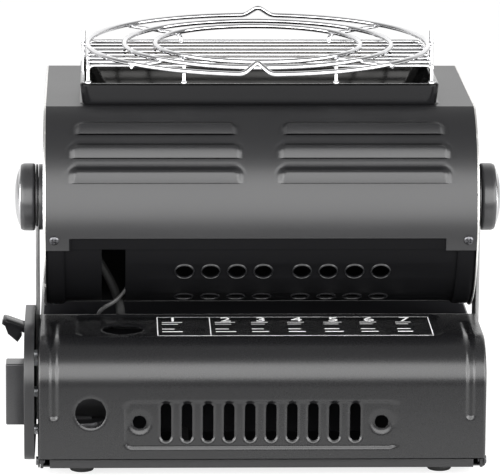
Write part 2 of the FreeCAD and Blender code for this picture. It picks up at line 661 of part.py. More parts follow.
def control_panel():
    shell = panel_block(0).cut(panel_block(SHEET))
    shaft = rod(on_axis(-PANEL_OUT - 1), on_axis(-ARM_OUT), SHAFT_RADIUS + 1)
    half = LEVER_WIDTH / 2 + 0.6
    window = box(-PANEL_OUT - 1, -PANEL_OUT + SHEET + 0.5, CARTRIDGE_Y - half, CARTRIDGE_Y + half,
                 LEVER_HEIGHT - 4, LEVER_HEIGHT + 4)
    web = box(-ARM_OUT - SHEET, -ARM_OUT, PIVOT_BACK - ARM_WIDTH / 2, PANEL_BACK - SHEET / 2, 24, 34)
    return without(shell.fuse(web), [shaft, window])


def panel_standoffs():
    posts = []
    for y, z in ((30.0, 22.0), (58.0, 60.0)):
        posts.append(rod(V(-PANEL_OUT + SHEET, y, z), V(-END_PLATE_OUT, y, z), 3.0))
    return Part.makeCompound(posts)


def lever_pin():
    half = LEVER_WIDTH / 2 + 5
    at = V(LEVER_PIVOT_X, CARTRIDGE_Y, LEVER_HEIGHT)
    pin = rod(at - V(0, half, 0), at + V(0, half, 0), 1.0)
    lugs = []
    for s in (-1, 1):
        y = CARTRIDGE_Y + s * (half - 1)
        lugs.append(box(-PANEL_OUT + SHEET, LEVER_PIVOT_X + 1.6, y - 0.8, y + 0.8, LEVER_HEIGHT - 3, LEVER_HEIGHT + 3))
    return fused([pin] + lugs)


def lever():
    at = V(LEVER_PIVOT_X, CARTRIDGE_Y, LEVER_HEIGHT)
    half = LEVER_WIDTH / 2
    barrel = rod(at - V(0, half, 0), at + V(0, half, 0), 1.8)
    paddle = box(LEVER_PIVOT_X - LEVER_REACH, LEVER_PIVOT_X, CARTRIDGE_Y - half, CARTRIDGE_Y + half,
                 LEVER_HEIGHT - LEVER_THICK / 2, LEVER_HEIGHT + LEVER_THICK / 2)
    tips = [e for e in paddle.Edges
            if e.BoundBox.ZLength > 1 and abs(e.CenterOfMass.x - (LEVER_PIVOT_X - LEVER_REACH)) < 0.1]
    paddle = paddle.makeFillet(3.5, tips)
    paddle.rotate(at, Y_AXIS, LEVER_RISE_DEG)
    down = box(LEVER_PIVOT_X - 1.0, LEVER_PIVOT_X + LEVER_HALF, CARTRIDGE_Y - 3.5, CARTRIDGE_Y + 3.5,
               LEVER_HEIGHT - LEVER_ARM, LEVER_HEIGHT)
    hole = rod(at - V(0, half + 1, 0), at + V(0, half + 1, 0), 1.0 + RUNNING_FIT)
    outline = [(-16.0, 6.6), (-13.3, -1.0), (-7.7, -5.9), (-6.3, -4.0), (-5.1, -2.0), (-5.1, 2.5)]
    corners = [at + V(x, -half, z) for x, z in outline]
    cheek = Part.Face(Part.makePolygon(corners + corners[:1])).extrude(V(0, LEVER_CHEEK, 0))
    far_cheek = cheek.translated(V(0, LEVER_WIDTH - LEVER_CHEEK, 0))
    return fused([barrel, paddle, down, cheek, far_cheek]).cut(hole)


def gas_knob():
    """Bar-shaped handle, upright when the gas is off."""
    inner = -PANEL_OUT - GAS_KNOB_GAP
    solid = box(inner - GAS_KNOB_LENGTH, inner, CARTRIDGE_Y - GAS_KNOB_DEPTH / 2, CARTRIDGE_Y + GAS_KNOB_DEPTH / 2,
                CARTRIDGE_Z - GAS_KNOB_HEIGHT / 2, CARTRIDGE_Z + GAS_KNOB_HEIGHT / 2)
    edges = [e for e in solid.Edges if e.CenterOfMass.x < inner - 0.1]
    solid = solid.makeFillet(GAS_KNOB_EDGE, edges)
    return solid.cut(rod(on_axis(inner + 1), on_axis(inner - 8), SHAFT_RADIUS + 0.02))


def gas_shaft():
    return rod(on_axis(-PANEL_OUT - GAS_KNOB_GAP - 8), on_axis(REGULATOR_LEFT + 9), SHAFT_RADIUS)


# Tilting head

def head_profile(inset, x0, x1):
    """Side view of the head casing drawn in by inset, as a solid from x0 to x1."""
    radius = HEAD_RADIUS - inset
    top = FACE_RISE - inset
    back = FACE_BACK - inset
    low = FACE_RISE - REAR_LIP
    slope = math.atan2(low, FACE_BACK)
    reach = math.hypot(low, FACE_BACK)
    tangent = slope - math.acos(HEAD_RADIUS / reach)
    start = math.pi - math.asin(top / radius)
    end = 2 * math.pi + tangent

    def spot(r, a):
        return V(x0, PIVOT_BACK + r * math.cos(a), PIVOT_Z + r * math.sin(a))
    fold, last = spot(radius, start), spot(radius, end)
    along = V(0, -math.sin(tangent), math.cos(tangent))
    corner = last + along * ((PIVOT_BACK + back - last.y) / along.y)
    far_top = V(x0, PIVOT_BACK + back, PIVOT_Z + top)
    edges = [Part.Arc(fold, spot(radius, (start + end) / 2), last).toShape(),
             Part.LineSegment(last, corner).toShape(), Part.LineSegment(corner, far_top).toShape(),
             Part.LineSegment(far_top, fold).toShape()]
    return Part.Face(Part.Wire(edges)).extrude(V(x1 - x0, 0, 0))


def head_wall(x0, x1):
    return head_profile(0, x0, x1).cut(head_profile(SHEET, x0 - 1, x1 + 1))


def louvre(centre_x, top_deg):
    """Outward hood, open below, and the slot that it covers."""
    low_deg = top_deg - LOUVRE_SWEEP_DEG
    x0, x1 = centre_x - LOUVRE_LENGTH / 2, centre_x + LOUVRE_LENGTH / 2
    inner = HEAD_RADIUS - SHEET

    def yz(radius, deg):
        p = at_angle(radius, deg)
        return p.y, p.z
    proud = HEAD_RADIUS + LOUVRE_PROUD
    hood = slab([yz(HEAD_RADIUS, top_deg), yz(proud, low_deg + 2), yz(proud, low_deg),
                 yz(proud - THIN_SHEET, low_deg), yz(proud - THIN_SHEET, low_deg + 2),
                 yz(inner, top_deg - 0.5)], x0, x1)
    cheek = [yz(inner, top_deg), yz(HEAD_RADIUS, top_deg), yz(proud, low_deg + 2), yz(proud, low_deg),
             yz(inner, low_deg)]
    cheeks = [slab(cheek, x, x + THIN_SHEET) for x in (x0, x1 - THIN_SHEET)]
    opening = sector(inner - 2, HEAD_RADIUS + 1, low_deg + 0.5, top_deg - 1.5,
                     x0 + THIN_SHEET, x1 - THIN_SHEET)
    return fused([hood] + cheeks), opening


def head_screw_spots():
    spots = []
    for s in (-1, 1):
        x = s * (HEAD_INSIDE - SIDE_STRIP / 2 + 1)
        spots += [(x, -11.0), (x, -70.0)]
    return spots


def head_shell():
    inside = HEAD_INSIDE
    wall = head_wall(-inside, inside)
    inner, outer = HEAD_RADIUS - SHEET - 1, HEAD_RADIUS + 1
    top_keep = box(-inside, inside, FOLD_Y - 5, PIVOT_BACK + FACE_BACK + 1, FACE_Z - SHEET, FACE_Z + 1)
    fold_deg = math.degrees(math.asin(FACE_RISE / HEAD_RADIUS))
    front_keep = sector(inner, outer, -SHELL_EDGE_DEG, fold_deg + 2, -inside, inside)
    strips = [sector(inner, outer, -STRIP_END_DEG, -SHELL_EDGE_DEG + 1, s * inside, s * (inside - SIDE_STRIP))
              for s in (-1, 1)]
    shell = wall.common(fused([top_keep, front_keep] + strips))
    band_out = HEAD_RADIUS - JOGGLE_STEP
    mid = inside - SIDE_STRIP
    band = sector(band_out - SHEET, band_out, -JOGGLE_EDGE_DEG, -SHELL_EDGE_DEG, -mid, mid)
    step = sector(band_out - SHEET, HEAD_RADIUS, -SHELL_EDGE_DEG, -SHELL_EDGE_DEG + 1, -mid, mid)
    shell = fused([shell, band, step])
    for s in (-1, 1):
        for top_deg in LOUVRE_TOPS_DEG:
            hood, opening = louvre(RECESS_CENTRE_X + s * LOUVRE_CENTRE, top_deg)
            shell = shell.cut(opening).fuse(hood)
    mouth = (RIM_WIDTH - 2 * RIM_FLANGE - 2, RIM_DEPTH - 2 * RIM_FLANGE - 2, RIM_CORNER)
    cuts = [frustum((0, RIM_Y), mouth, mouth, FACE_Z - 5, FACE_Z + 5)]
    for x, deg in head_screw_spots():
        cuts.append(rod(at_angle(HEAD_RADIUS - 4, deg, x), at_angle(HEAD_RADIUS + 2, deg, x),
                        SCREW_RADIUS + SCREW_HOLE_CLEARANCE))
    return without(shell, cuts).removeSplitter()


def head_screws():
    shapes = []
    for x, deg in head_screw_spots():
        head = rod(at_angle(HEAD_RADIUS, deg, x), at_angle(HEAD_RADIUS + SCREW_HEAD, deg, x), SCREW_HEAD_RADIUS)
        shank = rod(at_angle(HEAD_RADIUS - 2, deg, x), at_angle(HEAD_RADIUS, deg, x), SCREW_RADIUS)
        shapes.append(head.fuse(shank).removeSplitter())
    return Part.makeCompound(shapes)


def head_rear_cover():
    inside = HEAD_INSIDE
    keep = box(-inside, inside, PIVOT_BACK + 1, PIVOT_BACK + FACE_BACK + 1, PIVOT_Z - 80, FACE_Z - SHEET)
    cover = head_wall(-inside, inside).common(keep)
    slots = []
    for i in range(BACK_SLOT_COUNT):
        x = (i - (BACK_SLOT_COUNT - 1) / 2) * (BACK_SLOT_LENGTH + 6)
        for z in (PIVOT_Z + 8, PIVOT_Z - 8):
            slots.append(box(x - BACK_SLOT_LENGTH / 2, x + BACK_SLOT_LENGTH / 2, PIVOT_BACK + 45,
                             PIVOT_BACK + 120, z, z + BACK_SLOT_WIDTH))
    return without(cover, slots)


def head_end(side):
    plate = head_profile(0, HEAD_INSIDE, HALF_HEAD)
    hole = rod(V(HEAD_INSIDE - 1, PIVOT_BACK, PIVOT_Z), V(HALF_HEAD + 1, PIVOT_BACK, PIVOT_Z), STUD_RADIUS + 2)
    plate = plate.cut(hole)
    return plate if side > 0 else mirrored(plate)


def air_panel():
    outer = HEAD_RADIUS - AIR_PANEL_DROP
    inside = HEAD_INSIDE
    panel = sector(outer - SHEET, outer, -AIR_PANEL_END_DEG, -AIR_PANEL_TOP_DEG, -inside, inside)
    cuts = []
    for start in AIR_BANKS_X:
        for i in range(AIR_HOLES_PER_BANK):
            x = start + i * AIR_HOLE_PITCH
            for deg in AIR_ROWS_DEG:
                cuts.append(rod(at_angle(outer - 5, -deg, x), at_angle(outer + 5, -deg, x), AIR_HOLE_RADIUS))
    half = HOSE_SLOT_WIDTH / 2
    cuts.append(sector(outer - 5, outer + 5, -AIR_PANEL_END_DEG - 1, -JOGGLE_EDGE_DEG,
                       HOSE_SLOT_X - half, HOSE_SLOT_X + half))
    for x, deg in head_screw_spots():
        if deg < -AIR_PANEL_TOP_DEG:
            cuts.append(rod(at_angle(outer - 4, deg, x), at_angle(outer + 4, deg, x), SCREW_HEAD_RADIUS))
    return without(panel, cuts)


def reflector():
    centre = (0, RIM_Y)
    top = (RIM_WIDTH, RIM_DEPTH, RIM_CORNER)
    foot = (RIM_WIDTH + 2 * RIM_DRAFT, RIM_DEPTH + 2 * RIM_DRAFT, RIM_CORNER + RIM_DRAFT)

    def shrink(size, by):
        return size[0] - 2 * by, size[1] - 2 * by, max(size[2] - by, 0.5)
    t = THIN_SHEET
    skirt = frustum(centre, foot, top, FACE_Z, RIM_TOP)
    hollow = frustum(centre, shrink(foot, t), shrink(top, t), FACE_Z, RIM_TOP - t)
    mouth = shrink(top, RIM_FLANGE)
    floor = (DISH_FLOOR_WIDTH, DISH_FLOOR_DEPTH, 6.0)
    dish_out = frustum(centre, shrink(floor, -t), shrink(mouth, -t), DISH_FLOOR_Z - t, RIM_TOP)
    dish_in = frustum(centre, floor, mouth, DISH_FLOOR_Z, RIM_TOP)
    window = box(-PLAQUE_WIDTH / 2 + 3, PLAQUE_WIDTH / 2 - 3, RIM_Y - PLAQUE_DEPTH / 2 + 3,
                 RIM_Y + PLAQUE_DEPTH / 2 - 3, DISH_FLOOR_Z - 5, DISH_FLOOR_Z + 1)
    return skirt.cut(hollow).fuse(dish_out).cut(dish_in).cut(window).removeSplitter()


def ceramic_plaque():
    return box(-PLAQUE_WIDTH / 2, PLAQUE_WIDTH / 2, RIM_Y - PLAQUE_DEPTH / 2, RIM_Y + PLAQUE_DEPTH / 2,
               PLAQUE_TOP - PLAQUE_THICK, PLAQUE_TOP)


def burner_box():
    outer = box(-BOX_HALF_X, BOX_HALF_X, RIM_Y - BOX_HALF_Y, RIM_Y + BOX_HALF_Y, BOX_LOW, PLAQUE_TOP)
    seat = box(-PLAQUE_WIDTH / 2, PLAQUE_WIDTH / 2, RIM_Y - PLAQUE_DEPTH / 2, RIM_Y + PLAQUE_DEPTH / 2,
               PLAQUE_TOP - PLAQUE_THICK, PLAQUE_TOP + 1)
    ledge = 2.0
    hollow = box(-PLAQUE_WIDTH / 2 + ledge, PLAQUE_WIDTH / 2 - ledge, RIM_Y - PLAQUE_DEPTH / 2 + ledge,
                 RIM_Y + PLAQUE_DEPTH / 2 - ledge, BOX_LOW + SHEET, PLAQUE_TOP)
    inlet = rod(V(0, RIM_Y, BOX_LOW - 1), V(0, RIM_Y, BOX_LOW + 3), MIX_TUBE_RADIUS - 1)
    return without(outer, [seat, hollow, inlet])


def mixing_tube():
    left = -MIX_TUBE_LENGTH
    run = rod(V(left, RIM_Y, MIX_Z), V(MIX_TUBE_RADIUS, RIM_Y, MIX_Z), MIX_TUBE_RADIUS)
    riser = rod(V(0, RIM_Y, MIX_Z), V(0, RIM_Y, BOX_LOW), MIX_TUBE_RADIUS)
    mouth = Part.makeCone(MIX_TUBE_RADIUS + 3, MIX_TUBE_RADIUS, MIX_MOUTH, V(INJECTOR_X, RIM_Y, MIX_Z), X_AXIS)
    body = fused([run, riser, mouth])
    inner = MIX_TUBE_RADIUS - 1
    bore = rod(V(INJECTOR_X - 1, RIM_Y, MIX_Z), V(inner, RIM_Y, MIX_Z), inner)
    up = rod(V(0, RIM_Y, MIX_Z), V(0, RIM_Y, BOX_LOW + 1), inner)
    return without(body, [bore, up])


def injector():
    body = rod(V(INJECTOR_SEAT, RIM_Y, MIX_Z), V(INJECTOR_X - 1, RIM_Y, MIX_Z), INJECTOR_RADIUS)
    tip = Part.makeCone(INJECTOR_RADIUS - 1, 1.5, 5, V(INJECTOR_X - 1, RIM_Y, MIX_Z), X_AXIS)
    return body.fuse(tip).removeSplitter()


def injector_bracket():
    """Angle that holds the injector and the mixing tube's mouth to the left end plate."""
    x1 = INJECTOR_SEAT
    low, high = MIX_Z - 9, MIX_Z + 12
    foot = box(-HEAD_INSIDE, -HEAD_INSIDE + SHEET, RIM_Y - 8, RIM_Y + 12, low, high)
    wall = box(x1 - 2, x1, RIM_Y - 8, RIM_Y + 12, low, high)
    web = box(-HEAD_INSIDE, x1, RIM_Y + 10.5, RIM_Y + 12, low, high)
    hole = rod(V(x1 - 3, RIM_Y, MIX_Z), V(x1 + 1, RIM_Y, MIX_Z), HOSE_RADIUS + 0.6)
    return fused([foot, wall, web]).cut(hole)


def grill():
    """Welded guard of crosswise bars on legs, standing on the reflector's rim."""
    half = GUARD_HALF_DEPTH
    pitch = 2 * half / (GRILL_BARS - 1)
    wires = []
    for i in range(GRILL_BARS):
        y = RIM_Y - half + i * pitch
        wires.append(rod(V(-GRILL_HALF_WIDTH, y, GRILL_Z), V(GRILL_HALF_WIDTH, y, GRILL_Z), GRILL_WIRE))
    for s in (-1, 1):
        x = s * GRILL_HALF_WIDTH
        reach = half + 2 * GRILL_WIRE
        wires.append(rod(V(x, RIM_Y - reach, GRILL_Z), V(x, RIM_Y + reach, GRILL_Z), GRILL_WIRE + 0.1))
        for y in (RIM_Y - half, RIM_Y + half):
            for leg_x in (x, s * RING_LEG_X):
                wires.append(rod(V(leg_x, y, RIM_TOP), V(leg_x, y, GRILL_Z), GRILL_WIRE - 0.1))
    return fused(wires)


def ring_wire(radius, peaks):
    """Level ring, the outer one with two raised peaks, at the front and at the back."""
    centre = V(0, RIM_Y, RING_Z)
    if not peaks:
        return [Part.makeTorus(radius, RING_WIRE, centre)]
    gap = math.asin(PEAK_HALF_WIDTH / radius)
    shapes = []
    for mid in (0, math.pi):
        span = math.pi / 2 - gap

        def spot(a):
            return centre + V(radius * math.cos(a), radius * math.sin(a), 0)
        arc = Part.Arc(spot(mid - span), spot(mid), spot(mid + span)).toShape()
        section = Part.Wire(Part.makeCircle(RING_WIRE, spot(mid - span), arc.tangentAt(arc.FirstParameter)))
        shapes.append(Part.Wire(arc).makePipeShell([section], True, True))
    for s in (-1, 1):
        apex = centre + V(0, s * (radius - PEAK_LEAN), PEAK_RISE)
        for side in (-1, 1):
            foot = centre + V(side * PEAK_HALF_WIDTH, s * radius * math.cos(gap), 0)
            shapes.append(rod(foot, apex, RING_WIRE))
            shapes.append(Part.makeSphere(RING_BEND, foot))
        shapes.append(Part.makeSphere(RING_BEND, apex))
    return shapes


def pot_rings():
    """Pot support of three rings tied by radial wires, on four legs and two pan stops."""
    wires = []
    for i, radius in enumerate(RING_RADII):
        wires += ring_wire(radius, i == 0)
    outer = RING_RADII[0]
    drop = RING_WIRE - 0.1
    for s in (-1, 1):
        for t in (-1, 1):
            leg = V(s * RING_LEG_X, t * GUARD_HALF_DEPTH, 0)
            bend = V(0, RIM_Y, RING_Z - drop) + leg
            tip = bend + leg * ((outer + RADIAL_OVERHANG) / leg.Length - 1)
            wires.append(rod(bend, tip, RING_WIRE - 0.2))
            wires.append(Part.makeSphere(RING_WIRE - 0.1, bend))
            wires.append(rod(bend - V(0, 0, RING_RISE - drop - GRILL_RISE - GRILL_WIRE), bend, GRILL_WIRE))
        post = V(s * (outer + RING_WIRE + 0.9), RIM_Y, RIM_TOP)
        wires.append(rod(post, post + V(0, 0, RING_RISE + STOP_RISE), RING_WIRE - 0.1))
    return fused(wires)


def pivot_bushes():
    inner, outer = HALF_HEAD, HALF_CASE - 0.1
    at = (PIVOT_BACK, PIVOT_Z)
    spacer = rod(V(inner, *at), V(outer, *at), BUSH_RADIUS)
    nut = rod(V(HEAD_INSIDE - 8, *at), V(HEAD_INSIDE, *at), BUSH_RADIUS)
    neck = rod(V(HEAD_INSIDE - 1, *at), V(inner + 1, *at), STUD_RADIUS + 1.9)
    bore = rod(V(HEAD_INSIDE - 9, *at), V(outer + 1, *at), STUD_RADIUS + RUNNING_FIT)
    bush = fused([spacer, nut, neck]).cut(bore)
    return Part.makeCompound([bush, mirrored(bush)])


# Lock knobs, modelled on the right and mirrored

def knob_grip():
    at = (PIVOT_BACK, PIVOT_Z)
    grip = rod(V(KNOB_IN, *at), V(KNOB_OUT, *at), KNOB_RADIUS)
    rim = [e for e in grip.Edges if abs(e.CenterOfMass.x - KNOB_OUT) < 0.01]
    grip = grip.makeFillet(KNOB_EDGE, rim)
    seat = rod(V(KNOB_OUT - 1.5, *at), V(KNOB_OUT + 1, *at), KNOB_CAP_RADIUS + 0.05)
    bore = rod(V(KNOB_IN - 1, *at), V(KNOB_IN + 5, *at), STUD_RADIUS + 0.02)
    return without(grip, [seat, bore])


def knob_cap():
    at = (PIVOT_BACK, PIVOT_Z)
    rise = KNOB_CAP_RISE
    dome_radius = (KNOB_CAP_RADIUS**2 + rise**2) / (2 * rise)
    disc = rod(V(KNOB_OUT - 1.5, *at), V(KNOB_OUT, *at), KNOB_CAP_RADIUS)
    ball = Part.makeSphere(dome_radius, V(KNOB_OUT + rise - dome_radius, *at))
    dome = ball.common(rod(V(KNOB_OUT, *at), V(KNOB_OUT + rise + 1, *at), KNOB_CAP_RADIUS))
    return disc.fuse(dome).removeSplitter()


def knob_stud():
    at = (PIVOT_BACK, PIVOT_Z)
    return rod(V(HALF_HEAD - STUD_REACH / 2, *at), V(KNOB_IN + 5, *at), STUD_RADIUS)


HOSE_ROUTE = [
    V(OUTLET_X, HOSE_START_Y, CARTRIDGE_Z), V(-96, 80, 42), V(-91, 90, 47), V(HOSE_X, HOSE_DECK_Y, 60),
    V(HOSE_X, HOSE_DECK_Y, 81), V(-86.5, 82, 96), V(-93, 81, 108), V(-100, 88, 119),
    V(-112, 97, 126), V(-119, 106, 137), V(INJECTOR_SEAT - 9.5, RIM_Y, MIX_Z), V(INJECTOR_SEAT, RIM_Y, MIX_Z),
]
LEAD_ROUTE = [
    V(LEAD_START_X, LEAD_Y + IGNITER_RADIUS + 2, LEAD_Z), V(LEAD_START_X, 84, LEAD_Z), V(-106, 92, 34),
    V(LEAD_X, LEAD_DECK_Y, 52), V(LEAD_X, LEAD_DECK_Y, 75), V(-93, 82, 83), V(-85, 78, 88), V(-77, 77, 98),
    V(-71, 84, 112), V(-66, 100, 122), V(ELECTRODE_X, 120, 129), V(ELECTRODE_X, ELECTRODE_Y, 145),
    V(ELECTRODE_X, ELECTRODE_Y, PROBE_LOW),
]


def probe(x):
    """Ceramic-sleeved probe beside the plaque, standing in its clip on the burner box."""
    low, high = V(x, ELECTRODE_Y, PROBE_LOW), V(x, ELECTRODE_Y, DISH_FLOOR_Z - THIN_SHEET - PROBE_GAP)
    sleeve = rod(low, high, PROBE_RADIUS)
    clip = box(x - 4, x + 4, RIM_Y + BOX_HALF_Y, ELECTRODE_Y, PROBE_LOW + 6, PROBE_LOW + 12)
    return sleeve.fuse(clip).removeSplitter()


def grommet():
    at = V(HOSE_X, HOSE_DECK_Y, DECK_TOP)
    lip = GROMMET_LIP
    body = rod(at - V(0, 0, SHEET + lip), at + V(0, 0, lip), GROMMET_RADIUS + lip)
    groove = rod(at - V(0, 0, SHEET), at, GROMMET_RADIUS + 2).cut(
        rod(at - V(0, 0, SHEET), at, GROMMET_RADIUS))
    bore = rod(at - V(0, 0, 6), at + V(0, 0, 6), HOSE_RADIUS + 0.5)
    return body.cut(groove).cut(bore)


save("base_pan", pan())
save("feet", feet())
save("rear_housing", rear_housing())
save("divider_wall", divider())
save("left_end_plate", left_end_plate())
save("right_end_plate", end_plate())
save("lid_hinge_pins", hinge_pins())
save("left_arm", arm(-1))
save("right_arm", arm(1))
save("arm_screws", arm_screws())
save("cartridge_lid", lid())
save("cartridge_cradle", cradle())
save("gas_regulator", regulator())
save("diaphragm_cover", diaphragm_cover())
save("igniter_unit", igniter())
save("valve_nozzle", nozzle())
save("lock_plate", lock_plate())
save("control_panel", control_panel())
save("panel_standoffs", panel_standoffs())
save("lever_pin", lever_pin())
save("lock_lever", lever())
save("gas_knob_grip", gas_knob())
save("gas_knob_shaft", gas_shaft())
save("head_shell", head_shell())
save("head_screws", head_screws())
save("head_rear_cover", head_rear_cover())
save("head_end_left", head_end(-1))
save("head_end_right", head_end(1))
save("lower_air_panel", air_panel())
save("reflector", reflector())
save("ceramic_plaque", ceramic_plaque())
save("burner_box", burner_box())
save("mixing_tube", mixing_tube())
save("gas_injector", injector())
save("injector_bracket", injector_bracket())
save("guard_grill", grill())
save("pot_rings", pot_rings())
save("pivot_bushes", pivot_bushes())
for side_name, flip in (("left", True), ("right", False)):
    for name, make in (("knob_grip", knob_grip), ("knob_cap", knob_cap), ("knob_stud", knob_stud)):
        save("%s_%s" % (side_name, name), mirrored(make()) if flip else make())
save("ignition_electrode", probe(ELECTRODE_X))
save("flame_sensor", probe(SENSOR_X))
save("hose_grommet", grommet())
save("gas_hose", tube_path(HOSE_ROUTE, HOSE_RADIUS))
save("igniter_lead", tube_path(LEAD_ROUTE, LEAD_RADIUS))
print("shift", SHIFT, "left", LEFT_REACH, "right", RIGHT_REACH, "pivot", PIVOT)
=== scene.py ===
"""Portable gas heater: visible surfaces, finishes, light and camera around the packed frame.

Places are given in millimetres in the maker's own layout: X across the casing from its middle, Y back
from the lid's slotted face, Z up from the table. to_row() turns them into the frame's metres.
"""
import json
import math

import bmesh
import bpy
import numpy as np
from bpy.props import FloatProperty, FloatVectorProperty, PointerProperty
from mathutils import Matrix, Vector

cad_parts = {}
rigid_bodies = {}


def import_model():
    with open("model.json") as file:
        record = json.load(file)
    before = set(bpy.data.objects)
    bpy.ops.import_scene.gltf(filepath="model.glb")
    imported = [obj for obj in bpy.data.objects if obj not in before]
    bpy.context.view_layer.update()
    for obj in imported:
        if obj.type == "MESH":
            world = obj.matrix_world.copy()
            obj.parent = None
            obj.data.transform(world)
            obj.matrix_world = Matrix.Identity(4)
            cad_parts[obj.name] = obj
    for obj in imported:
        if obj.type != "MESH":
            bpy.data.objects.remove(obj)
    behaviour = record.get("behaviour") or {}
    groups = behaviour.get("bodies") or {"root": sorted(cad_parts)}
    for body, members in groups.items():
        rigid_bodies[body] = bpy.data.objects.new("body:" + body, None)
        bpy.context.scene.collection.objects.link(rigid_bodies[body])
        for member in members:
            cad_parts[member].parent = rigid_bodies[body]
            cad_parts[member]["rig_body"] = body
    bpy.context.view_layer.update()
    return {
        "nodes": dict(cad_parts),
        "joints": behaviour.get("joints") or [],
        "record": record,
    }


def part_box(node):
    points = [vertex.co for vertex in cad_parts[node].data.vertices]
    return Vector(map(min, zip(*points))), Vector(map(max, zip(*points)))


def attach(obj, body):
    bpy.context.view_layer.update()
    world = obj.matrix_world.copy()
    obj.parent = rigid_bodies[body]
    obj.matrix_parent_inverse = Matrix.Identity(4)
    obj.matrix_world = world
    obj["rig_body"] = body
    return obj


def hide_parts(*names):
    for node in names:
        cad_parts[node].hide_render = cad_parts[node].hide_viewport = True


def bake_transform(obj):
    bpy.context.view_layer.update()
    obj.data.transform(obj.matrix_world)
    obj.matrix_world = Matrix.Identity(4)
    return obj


bl_info = {
    "name": "Portable gas heater",
    "version": (1, 0, 0),
    "blender": (4, 5, 0),
    "location": "View3D > Sidebar > Heater",
    "description": "Builds the visible pieces of a tabletop gas heater around its frame",
    "category": "Object",
}

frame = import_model()
MM = 0.001
LID_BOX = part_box("cartridge_lid")
ORIGIN = np.array([(LID_BOX[0].x + LID_BOX[1].x) / 2, LID_BOX[0].y, 0.0])
TILT = next(j for j in frame["joints"] if j["name"] == "head_tilt")
PIVOT_Y = (TILT["pos_m"][1] - ORIGIN[1]) / MM
PIVOT_Z = TILT["pos_m"][2] / MM
SLOTS = {sub["node"]: sub["material_slot"] for sub in frame["record"]["subparts"]}

# Sizes repeated from the solids, in millimetres
HALF_CASE = 131.0
LID_TOP, LID_FACE_LOW, LID_CORNER, LID_DEPTH, LID_BEND, LID_BACK_LOW = 81.0, 11.8, 26.0, 76.0, 3.0, 72.0
SLOT_X0, SLOT_PITCH, SLOT_COUNT, SLOT_Z, SLOT_HALF, SLOT_RADIUS = -0.9, 12.3, 10, 33.5, 8.1, 3.1
HEAD_R, HEAD_HALF, FACE_Z, FOLD_DEG, FACE_FAR = 65.0, 126.4, 208.6, 67.38, 202.0
RIM_Y, RIM_TOP, RING_Z, GUARD_Z = 114.0, 221.4, 238.1, 232.2
RIM_HALF = (106.0, 42.5)
DISH_Z, DISH_HALF, PLAQUE_HALF = 193.6, (88.0, 31.0), (79.0, 22.0)
ARM_OUT, KNOB_IN = 133.0, 133.3
SIDES = ((-1, "left"), (1, "right"))


def to_row(points):
    """Layout millimetres to the frame's metres."""
    return np.asarray(points, float) * MM + ORIGIN


def at(x, y, z):
    return Vector(to_row((x, y, z)))


def on_head(radius, degrees, x=0.0):
    """Point about the tilt axis, in degrees above the level on the front side."""
    a = math.radians(degrees)
    return (x, PIVOT_Y - radius * math.cos(a), PIVOT_Z + radius * math.sin(a))


def outwards(degrees):
    """Direction away from the tilt axis."""
    return Vector(on_head(1.0, degrees)) - Vector(on_head(0.0, degrees))


# Shader maths

def arithmetic(operation, swapped=False):
    """The method behind an operator, or behind its reflected form."""
    def method(self, other):
        first, second = (other, self) if swapped else (self, other)
        return self.finish.node("ShaderNodeMath", {"operation": operation}, {0: first, 1: second})
    return method


class Value:
    """A socket with arithmetic, so that a finish's maths reads as an expression."""
    __add__, __radd__ = arithmetic("ADD"), arithmetic("ADD", True)
    __sub__, __rsub__ = arithmetic("SUBTRACT"), arithmetic("SUBTRACT", True)
    __mul__, __rmul__ = arithmetic("MULTIPLY"), arithmetic("MULTIPLY", True)

    def __init__(self, finish, socket):
        self.finish, self.socket = finish, socket

    def ramp(self, low, high, start=0.0, end=1.0):
        """Maps low..high to start..end, held at both ends."""
        return self.finish.node("ShaderNodeMapRange", {"clamp": True, "interpolation_type": "SMOOTHSTEP"},
                                {0: self, 1: low, 2: high, 3: start, 4: end})


class Nodes:
    """A shader tree that is built node by node."""

    def __init__(self, tree):
        self.tree = tree
        self.tree.nodes.clear()

    def node(self, kind, settings=None, sockets=None, out=0):
        made = self.tree.nodes.new(kind)
        for key, setting in (settings or {}).items():
            setattr(made, key, setting)
        for key, value in (sockets or {}).items():
            if isinstance(value, Value):
                self.tree.links.new(value.socket, made.inputs[key])
            else:
                made.inputs[key].default_value = value
        return Value(self, made.outputs[out])

    def part(self, vector, axis):
        """One component of a vector."""
        return self.node("ShaderNodeSeparateXYZ", None, {"Vector": vector}, axis)

    def ray(self, kind):
        return self.node("ShaderNodeLightPath", out=kind)

    def ends(self, kind, shader):
        end = self.tree.nodes.new(kind)
        self.tree.links.new(shader.socket, end.inputs["Surface"])


